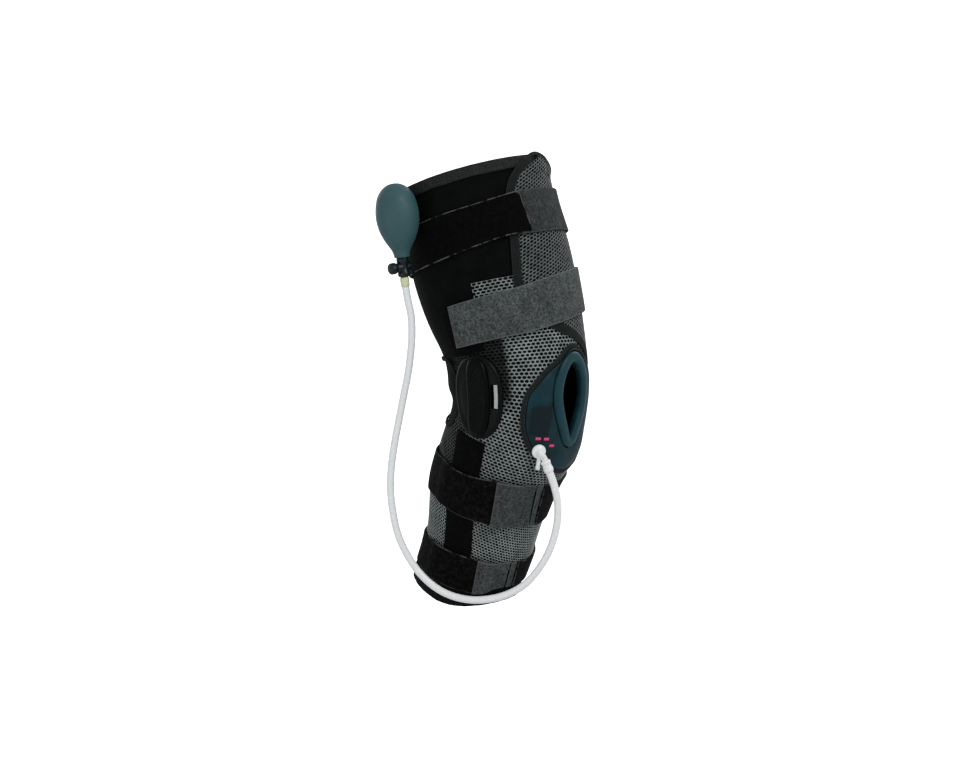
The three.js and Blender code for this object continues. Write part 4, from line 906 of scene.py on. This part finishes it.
def hem(name, rim, turn, material, slot, node):
    """Tape of U section folded over a rim, with its loose edges stitched down."""
    outside, inner = CLEAR + HEM_THICK, SLEEVE_FACE - SLEEVE_WALL - LAYER_GAP
    wide = (outside - (inner - HEM_THICK)) / 2
    section = [(HEM_HEIGHT * (1 - t), outside) for t in np.linspace(0, 1, 6)]
    for t in np.linspace(0, math.pi, 9)[1:-1]:
        section.append((0.9 * (1 - math.sin(t)), outside - wide + wide * math.cos(t)))
    section += [(HEM_HEIGHT * t, inner - HEM_THICK) for t in np.linspace(0, 1, 4)]
    section += [(HEM_HEIGHT, inner), (HEM_THICK, inner), (HEM_THICK, CLEAR), (HEM_HEIGHT, CLEAR)]
    a, k = np.meshgrid(TURNS, np.arange(len(section)), indexing="ij")
    drop, offset = (column[k] for column in np.array(section).T)
    pucker = wobble(a, size=0.22, pitch=2.6) + wobble(a, size=0.2, pitch=9)
    h = number_at(rim, a) - turn * (drop + wobble(a, size=0.25, pitch=5) * (drop > 5))
    edge = np.where(drop > HEM_HEIGHT - 0.1, 0.3, 3.0)
    lift = offset + pucker * (offset > 1)
    return band(name, h, a, lift, np.radians(a) * KNEE_SIDE, drop, edge, material, slot, node)


hem("top_rim_tape", THIGH_LENGTH, 1, HEM_TAPE, "binding_tape", "top_hem")
hem("bottom_rim_tape", rim_height, -1, HEM_BLACK, "black_cloth", "bottom_hem")

# Front flap of air mesh, and its bound edge, which becomes the band over the kneecap

def flap_place(u, v):
    h, a = flap_path.at(v, np.where(v < FLAP_BOUND + 0.04, BINDING_WIDTH + LAYER_GAP, 0.0))
    sewn = THIGH_LENGTH * (0.03 + 0.895 * v)
    return sewn + (h - sewn) * u, FLAP_SEWN + (a - FLAP_SEWN) * u


slab("flap_lining", flap_place, (115, 230), over_hem, PANEL_THICK - 0.5, LINING,
     "thigh_front_panel", step=4, edge=0.6)
net_shares = np.linspace(0.02, 0.985, 90)
flap_outline = np.array([
    *(flap_path.at(v, BINDING_WIDTH - 1 if v < FLAP_BOUND + 0.04 else 2.4) for v in net_shares),
    (THIGH_LENGTH * 0.915, FLAP_SEWN + 2.5),
    (THIGH_LENGTH * 0.04, FLAP_SEWN + 2.5),
])


def under_wide_strap(h, a):
    angles, rises, _ = np.array(WIDE_TABLE[1:]).T
    middle = WIDE_STRAP[0] + WIDE_STRAP[1] * np.interp(wrap(a), angles, rises)
    return np.abs(h - middle) < WIDE_HIDES


def flap_keep(h, a):
    return inside(flap_outline, h, a) & ~((np.abs(h - UPPER_STRAP[0]) < UPPER_HIDES) | under_wide_strap(h, a))


def flap_base(h, a):
    return over_hem(h) - 0.1


def tape_bump(u, v, h, a):
    return wobble(u * 400, size=0.18, pitch=2.4)


net("flap_net", 4.0, 2.3, 24, (100, -10), (125, 125), flap_keep, YARN_DARK,
    lambda h, a: over_hem(h) + PANEL_THICK - 0.55, (0.46, 0.40))
bound = Path(flap_rows[:bound_rows])
tape("flap_binding", bound, 0, BINDING_WIDTH, over_hem, BINDING_THICK, TAPE_SMOOTH,
     "front_panel_binding", tape_bump)
tape("flap_edge", Path(flap_rows[bound_rows - 4:]), 0, 3, flap_base, PANEL_THICK + 0.5, TAPE)
sewn_edge = Path([(share * THIGH_LENGTH, FLAP_SEWN) for share in np.linspace(0.02, 0.93, 60)])
tape("flap_seam", sewn_edge, -5, 0.8, flap_base, PANEL_THICK + 0.5, TAPE)
tape("back_panel_tape", back_rim, -BACK_BINDING_WIDTH, 0, CLEAR, HEM_THICK, HEM_BLACK,
     "back_binding")

# Air mesh of the knee and calf
pad_cover = pad_rim.moved(-1.5)
back_cover = back_rim.moved(-2)
flap_cover = np.concatenate([flap_path.moved(2), [(170, FLAP_SEWN), (2, FLAP_SEWN)]])


def knee_keep(h, a):
    """Cells between the seams that neither the pad, a hinge, the flap nor the wide strap hides."""
    turn = wrap(a)
    side = np.abs(turn)
    keep = (h >= -CALF_SEAM + 14) & (h < seam_height(a) - 1.2)
    keep &= ~inside(pad_cover, h, turn) & ~inside(back_cover, h, np.mod(a, 360))
    keep &= ~((np.abs((side - 91) / 20) ** 2.4 + np.abs(h / 33) ** 2.4) < 1)
    keep &= ~(inside(flap_cover, h, turn) & (turn < 50))
    keep &= ~(under_wide_strap(h, a) & (turn > -145) & (turn < 95))
    return keep & ~((side > 112) & (h > 30)) & (np.abs(a) < 180.4)


def knee_painted_shade(h, a):
    """Painted shade: the yarn is darker towards the hinge's upper front and behind the hinge, where shade
    falls.
    """
    turn = np.abs(wrap(a))
    upper_front_shade = np.clip((turn - 60) / 5, 0, 1) * np.clip((h + 12) / 14, 0, 1) * np.clip((64 - h) / 8, 0, 1)
    return np.clip(1 - 0.97 * upper_front_shade - 0.8 * np.clip((turn - 92) / 12, 0, 1), 0.03, 1)


def calf_keep(h, a):
    """Cells between the calf straps, beside the pockets."""
    beside = np.abs(np.abs(wrap(a)) - np.interp(-h, [66, 105, 137, 160], [93, 88, 80, 76]))
    return (h < -97) & (h > -146) & ~(beside < 15) & (np.abs(a) < 180.4)


net("knee_net", 4.1, 2.5, -4, (0, 0), (190, 115), knee_keep, YARN, NET_FACE, (0.44, 0.42), knee_painted_shade)
net("calf_net", 3.7, 2.3, -8, (-122, 0), (190, 60), calf_keep, YARN, NET_FACE, (0.44, 0.41))

# Air pad with its welded square, its binding, and the ring round the kneecap
ring_edge = opening.moved(RING_WIDTH + LAYER_GAP)
pad_edge = pad_rim.moved(-PAD_BINDING_WIDTH - LAYER_GAP)
pad_shares = np.linspace(0, 1, len(ring_edge))


def pad_place(u, v):
    return [
        np.interp(u, pad_shares, ring_edge[:, k]) * (1 - v) + np.interp(u, pad_shares, pad_edge[:, k]) * v
        for k in range(2)
    ]


def in_square(h, a):
    """Depth inside the welded square on the pad's outer side."""
    low, high = -25.5 + 0.12 * (a - 24), -4
    left, far = 27 - 0.12 * (h + 15), 46.5
    return np.minimum(np.minimum(h - low, high - h), np.minimum(a - left, far - a) * 1.03)


def pad_crown(u, v):
    depth = in_square(*pad_place(u, v))
    crown = PAD_THICK * (PAD_EDGE + (1 - PAD_EDGE) * np.sin(np.pi * np.clip(v, 0, 1)) ** 0.6)
    groove = 0.8 * np.clip(depth / 1.6, 0, 1) + 0.7 * np.exp(-(depth / 0.8) ** 2)
    return np.maximum(crown - groove + wobble(u * 300, v * 40, size=0.18, pitch=7), 0.8)


def pad_tone(u, v, h, a):
    square = np.clip(in_square(h, a) / 1.2, 0, 1)
    stripe = np.clip(1 - np.abs(h + 0.5) / 3, 0, 1) * ((a > 25) & (a < 47))
    return np.clip(0.48 - 0.48 * square + 0.4 * stripe, 0, 1)


pad = slab("air_pad", pad_place, (330, 27), CLEAR, pad_crown, PAD, "knee_pad", step=1.6,
           closed=True, tone=pad_tone)
tape("pad_tape", pad_rim, -PAD_BINDING_WIDTH, 0, CLEAR, BINDING_THICK, TAPE, "pad_binding",
     tape_bump)
skin = SLEEVE_FACE - SLEEVE_WALL
crest = [
    (RING_WIDTH / 2 * (1 - math.cos(t)), CLEAR + 0.8 + (RING_THICK - 0.8) * math.sin(t) ** 0.85)
    for t in np.linspace(0, math.pi, 13)
]
section = np.array([(0, skin), *crest, (RING_WIDTH, CLEAR), (RING_LIP, CLEAR), (RING_LIP, skin)])
s, k = np.meshgrid(np.linspace(0, 1, 181)[:-1], np.arange(len(section)), indexing="ij")
across, offset = section[k, 0], section[k, 1]
# Painted highlight: the ring's tone peaks along its crest, and the ring material shows the crest lighter.
ring_crest_highlight = 0.55 + 0.45 * np.sin(np.clip(across / RING_WIDTH, 0, 1) * math.pi)
band("kneecap_ring", *opening.at(s, across), offset, s * opening.length, across, ring_crest_highlight, RING,
     "ring_vinyl", "pad_ring")
DASH_SIZE = (4.8, 1.8)
for k, (height, angle) in enumerate(((-24.5, 37), (-24.5, 29.5), (-29, 23.5))):
    slab("pad_dash_%d" % k, lambda u, v: (height + 1.8 * (v - 0.5), angle + 4.6 * (u - 0.5)),
         DASH_SIZE, CLEAR + 2.7, 0.5, PINK, step=0.8, edge=0.25)


# Straps. Beside a pocket a calf strap comes back to the cloth within SETTLE degrees.
SETTLE = 12


def strap(name, size, table, start, end, layers, thick, material, node, step=3.0):
    """A strap from one slanted end to the other, over layers given as (angle, offset) rows."""
    middle, width = size
    keys, rises, shares = np.array(table).T
    at, offsets = np.array(layers, float).T

    def place(u, v):
        first, last = start[0] + (start[1] - start[0]) * v, end[0] + (end[1] - end[0]) * v
        a = first + (last - first) * u
        rise, share = curve_through(keys, rises, a), curve_through(keys, shares, a)
        return middle + width * (rise + share * (v - 0.5)), a

    def base(h, a):
        soft = sum(np.interp(a + shift, at, offsets) for shift in (-2, 0, 2)) / 3
        return np.maximum(soft, np.interp(a, at, offsets) - 0.15)

    def ripple(u, v, h, a):
        side = np.abs(v - 0.5) * 2
        return 0.25 * (wobble(a, size=0.5, pitch=7) * side + wobble(a, h, size=0.5, pitch=11))

    length = math.radians(abs(end[1] - start[1])) * KNEE_SIDE
    return slab(name, place, (length, width), base, thick, material, node, step, 0.8, bump=ripple)


strap("black_thigh_strap", UPPER_STRAP, UPPER_TABLE, (22, 24), (276, 276),
      [(37, OVER_TAB), (46, OVER_BINDING), (58, PANEL_BASE)], STRAP_THICK, LOOP_BLACK,
      "upper_thigh_strap")
strap("grey_thigh_tab", UPPER_STRAP, UPPER_TABLE, (TAB_ANGLE, TAB_ANGLE), (34, 34),
      [(TAB_ANGLE, OVER_BINDING)], TAB_THICK, FELT_TAB, "upper_thigh_tab")
strap("grey_wide_strap", WIDE_STRAP, WIDE_TABLE, (-150, -150), (101.5, 98),
      [(-126, CLEAR), (-114, OVER_BINDING)], STRAP_THICK, FELT_WIDE, "wide_thigh_strap")


def calf_strap(prefix, size, table, tab_from, tab_to, pocket):
    """A black strap round the calf, a grey tab over one end, and the grey loop that the tab goes through."""
    under = [angle - TAB_LAP for angle in tab_to]
    loop_to = [angle - SLOT_ANGLE for angle in tab_from]
    loop_from = [angle - LOOP_ANGLE for angle in loop_to]
    front, rear = pocket[0] - 3, pocket[1] + 3
    layers = [(rear, OVER_BINDING), (rear + SETTLE, CLEAR), (360 - rear - SETTLE, CLEAR),
              (360 - rear, OVER_BINDING), (360 - front, OVER_BINDING), (360 - front + SETTLE, PANEL_BASE)]
    end = [angle + 360 - SLOT_ANGLE for angle in loop_from]
    strap(prefix + "_black_strap", size, table, under, end, layers, STRAP_THICK, LOOP_CALF,
          prefix + "_strap")
    over = [(under[0] - 15, PANEL_BASE), (under[0] - 3, OVER_BINDING + STRAP_THICK + LAYER_GAP)]
    strap(prefix + "_grey_tab", size, table, tab_from, tab_to, over, TAB_THICK, FELT_CALF,
          prefix + "_tab")
    strap(prefix + "_grey_loop", size, table, loop_from, loop_to, [(0, PANEL_BASE)], TAB_THICK, FELT_CALF,
          prefix + "_loop", 1.5)


calf_strap("upper_calf", UPPER_CALF, UPPER_CALF_TABLE, (12, 24), (56, 61), (72, 109))
calf_strap("lower_calf", LOWER_CALF, LOWER_CALF_TABLE, (18, 21), (52, 56), (61, 98))

# Pockets and hinges of both sides
POCKET_WIDTH = 32
POCKET_ANGLE = 95
UPPER_POCKET = (37.5, 77.5)
LOWER_POCKET = (-155, -37.5)
POCKET_LINE = np.array([(0.2, 95), (0.35, 93), (0.55, 88), (0.72, 80), (0.85, 76)])
HINGE_HEIGHT, HINGE_WIDTH, HINGE_THICK, HINGE_ANGLE = 71, 46, 4, 91
SPINE_HEIGHT, SPINE_WIDTH, SPINE_THICK, SPINE_ANGLE = 66, 19, 4.2, 87.5
COVER_SQUARENESS, SPINE_SQUARENESS = 2.4, 3.2
STOP_CENTRE, STOP_HEIGHT, STOP_ANGLE, SLOT_WIDTH, SLOT_DEPTH = 2, 17, 71.5, 6, 1.9
HINGE_FACE = PANEL_BASE + HINGE_THICK
SPINE_TOP = HINGE_FACE + LAYER_GAP + SPINE_THICK
COVER_PROFILE = [(0, 0), (0.5, 0), (0.62, -0.1), (0.7, -0.45), (0.8, -0.35), (0.86, -0.05), (0.9, -0.1),
                 (0.95, -0.7), (0.98, -1.6), (1, -2.6)]
SPINE_PROFILE = [(0, 0), (0.55, 0), (0.75, -0.25), (0.88, -1.0), (0.95, -1.9), (1, -3.0)]


def pocket(name, side, span, angle_at, node):
    """A pocket of cloth between two heights. angle_at gives its middle at a height."""
    def place(u, v):
        height = span[0] + (span[1] - span[0]) * u
        return height, side * (number_at(angle_at, height) + girth_angle(POCKET_WIDTH) / 2 * (2 * v - 1))

    def bump(u, v, h, a):
        return 0.35 * np.sin(np.pi * u) ** 2 + wobble(h, size=0.2, pitch=8)

    size = (span[1] - span[0], POCKET_WIDTH)
    slab(name, place, size, CLEAR, PANEL_THICK, POCKET_CLOTH, node, bump=bump)


def plate(name, height, width, angle, squareness, top, profile, floor, material, node, relief=None):
    """A rounded plate on the cloth. profile gives the drop of its face at shares of its radius."""
    def bulge(v):
        return np.sign(v) * np.abs(v) ** (2 / squareness)

    shares = np.unique(np.concatenate([np.linspace(0, 0.85, 22), np.linspace(0.85, 1, 16)]))
    t, s = np.meshgrid(np.linspace(0, 2 * np.pi, 161)[:-1], shares, indexing="ij")
    x, h = bulge(np.sin(t)) * s * width / 2, bulge(np.cos(t)) * s * height / 2
    a = angle + np.sign(angle) * x / KNEE_SIDE * 180 / math.pi
    face = top + np.interp(s, *np.array(profile).T) + (relief(x, h, s) if relief else 0)
    points, faces = two_sided(leg(h, a, face), leg(h, a, floor), quads(s.shape, loop_rows=True))
    edge = np.arange(s.size).reshape(s.shape)[:, -1]
    beside = np.roll(edge, -1)
    wall = np.stack([edge, beside, beside + s.size, edge + s.size], -1)
    return piece(name, points, np.concatenate([faces, wall]), material, node)


def ribs(x, y, s):
    """Plain diagonal ribs along the spine."""
    slant = np.sin((y + 0.9 * x) / 4.6 * 2 * np.pi)
    return -0.45 * np.clip(slant, -0.2, 1) * np.clip((0.8 - s) / 0.1, 0, 1)


def finish_with(obj, material):
    obj.data.materials.clear()
    obj.data.materials.append(material)


for side, side_name in ((1, "outer"), (-1, "inner")):
    pocket("upper_sleeve_" + side_name, side, UPPER_POCKET, POCKET_ANGLE, "upper_pocket_" + side_name)
    pocket("lower_sleeve_" + side_name, side, LOWER_POCKET,
           lambda height: curve_through(*POCKET_LINE.T, -height / CALF_LENGTH), "lower_pocket_" + side_name)
    cover = plate("hinge_shell_" + side_name, HINGE_HEIGHT, HINGE_WIDTH, side * HINGE_ANGLE, COVER_SQUARENESS,
                  HINGE_FACE, COVER_PROFILE, PANEL_BASE, COVER, "hinge_cover_" + side_name)
    low, high = STOP_CENTRE - STOP_HEIGHT / 2 - LAYER_GAP, STOP_CENTRE + STOP_HEIGHT / 2 + LAYER_GAP
    near, far = side * STOP_ANGLE, side * (STOP_ANGLE + girth_angle(SLOT_WIDTH))
    slot_floor = HINGE_FACE - SLOT_DEPTH
    cut_through(cover, [(low, near), (low, far), (high, far), (high, near), (high, near)], slot_floor,
                HINGE_FACE + 3)
    finish_with(cover, COVER)
    plate("hinge_grip_" + side_name, SPINE_HEIGHT, SPINE_WIDTH, side * SPINE_ANGLE, SPINE_SQUARENESS,
          SPINE_TOP, SPINE_PROFILE, HINGE_FACE - 1.4, SPINE, "hinge_spine_" + side_name,
          relief=ribs)
    # Painted shade: a thin matte black sheet on the floor of the slot.
    slab("hinge_recess_" + side_name, lambda u, v: (low + (high - low) * u, near + (far - near) * v),
         (high - low, SLOT_WIDTH), slot_floor + 0.02, 0.1, SLOT_SHADE, edge=0.05)
    finish_with(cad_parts["hinge_stop_" + side_name], STEEL)

# Stitches
STITCH = np.array([(-0.5, 0, 0.05), (-0.3, 0.5, 0.15), (-0.3, -0.5, 0.15), (0.3, 0.5, 0.15),
                   (0.3, -0.5, 0.15), (0.5, 0, 0.05), (0, 0, 0.9)])
STITCH_FACES = np.array([(0, 1, 6), (0, 6, 2), (1, 3, 6), (2, 6, 4), (3, 5, 6), (4, 6, 5)])
STITCH_WIDTH = 0.35


def stitches(name, rows, offset, pitch, size):
    """Short threads along a path of (height, angle) rows."""
    line = Path(rows)
    count = int(line.length / pitch)
    verts = []
    for k in range(count):
        share = (k + 0.5) / count + STITCH[:, 0] * size / line.length
        h, a = line.at(share, STITCH[:, 1] * STITCH_WIDTH * 2)
        verts += list(leg(h, a, number_at(offset, h, a) + STITCH[:, 2] * STITCH_WIDTH))
    faces = np.concatenate([STITCH_FACES + len(STITCH) * k for k in range(count)])
    return piece(name, verts, faces, THREAD, weld=False)


def hem_row(rim, first, last):
    angles = np.linspace(first, last, 160)
    return np.stack([np.broadcast_to(number_at(rim, angles), angles.shape), angles], -1)


hem_face = CLEAR + HEM_THICK
top_row = hem_row(THIGH_LENGTH - HEM_HEIGHT + 1.6, 24, 290)
bottom_row = hem_row(lambda a: rim_height(a) + HEM_HEIGHT - 1.6, -180, 179)
stitches("top_hem_stitches", top_row, hem_face, 3.2, 2.2)
stitches("bottom_hem_stitches", bottom_row, hem_face, 3.2, 2.2)
stitches("flap_stitches", bound.moved(6.4), lambda h, a: over_hem(h) + BINDING_THICK - 0.2, 3.0, 2.0)
tab_row = [(UPPER_STRAP[0] + drop, TAB_ANGLE + 3.5) for drop in np.linspace(-15, 15, 24)]
stitches("thigh_tab_stitches", tab_row, OVER_BINDING + TAB_THICK - 0.1, 2.4, 1.7)
stitches("pad_tape_stitches", pad_rim.moved(-3.1), CLEAR + BINDING_THICK - 0.15, 2.8, 1.9)

# Stage, in metres: a white tent with a round floor, a curved wall and a roof. Only the camera sees it,
# so the light on the brace is that of the world and the lamps alone.
FLOOR = -1.1
ROOF = 2.6
TENT_REACH = 2.5
TENT_BEND = 0.9
TENT_SIDES = 72
bend = np.linspace(0, math.pi / 2, 13)
corner = np.stack([TENT_BEND * np.sin(bend), TENT_BEND * (1 - np.cos(bend))], axis=1)
tent_floor = corner + (TENT_REACH - TENT_BEND, FLOOR)
tent_roof = tent_floor[::-1] * (1, -1) + (0, FLOOR + ROOF)
tent_rows = np.concatenate([[(0, FLOOR)], tent_floor, tent_roof, [(0, ROOF)]])
turns = np.linspace(0, 2 * math.pi, TENT_SIDES, endpoint=False)
tent_verts = [(r * math.cos(t), r * math.sin(t), height) for r, height in tent_rows for t in turns]
tent_faces = quads((len(tent_rows), TENT_SIDES), loop_columns=True)[:, ::-1].tolist()
tent_mesh = bpy.data.meshes.new("tent")
tent_mesh.from_pydata(tent_verts, [], tent_faces)
tent_mesh.polygons.foreach_set("use_smooth", [True] * len(tent_faces))
WHITE = (1, 1, 1, 1)
tent_shade = Shade("white_tent", (0.9, 0.9, 0.9), 1.0, 0.0, Emission_Color=WHITE, Emission_Strength=1.0)
tent_mesh.materials.append(tent_shade.material)
tent = add("tent", tent_mesh)
tent.visible_diffuse = False
tent.visible_glossy = False
tent.visible_transmission = False
tent.visible_shadow = False

# Light. Places and sizes are in metres.
WORLD_COLOUR = (0.95, 0.98, 1, 1)
WORLD_STRENGTH = 0.56
LIGHTS = (
    ("key", right * 0.9 + back * 1.1 + up * 0.9, (0, 0, 0), 9, 0.7),
    ("fill", right * -1.0 + back * 1.0 - up * 0.5, (0, 0, -0.1), 2.6, 0.9),
    ("rim", right * 0.9 - back * 0.8 + up * 0.9, (0, 0, 0.1), 5, 0.6),
    ("rear", right * -0.9 - back * 1.2 + up * 0.6, (0, 0, 0), 4, 0.9),
)
world = bpy.data.worlds.new("studio")
bpy.context.scene.world = world
world.use_nodes = True
world.node_tree.nodes["Background"].inputs["Color"].default_value = WORLD_COLOUR
world.node_tree.nodes["Background"].inputs["Strength"].default_value = WORLD_STRENGTH
for name, place, target, power, size in LIGHTS:
    data = bpy.data.lights.new(name, "AREA")
    data.energy, data.size = power, size
    aim(add(name, data), place, (Vector(target) - place).to_track_quat("-Z", "Y"))

bpy.context.view_layer.update()
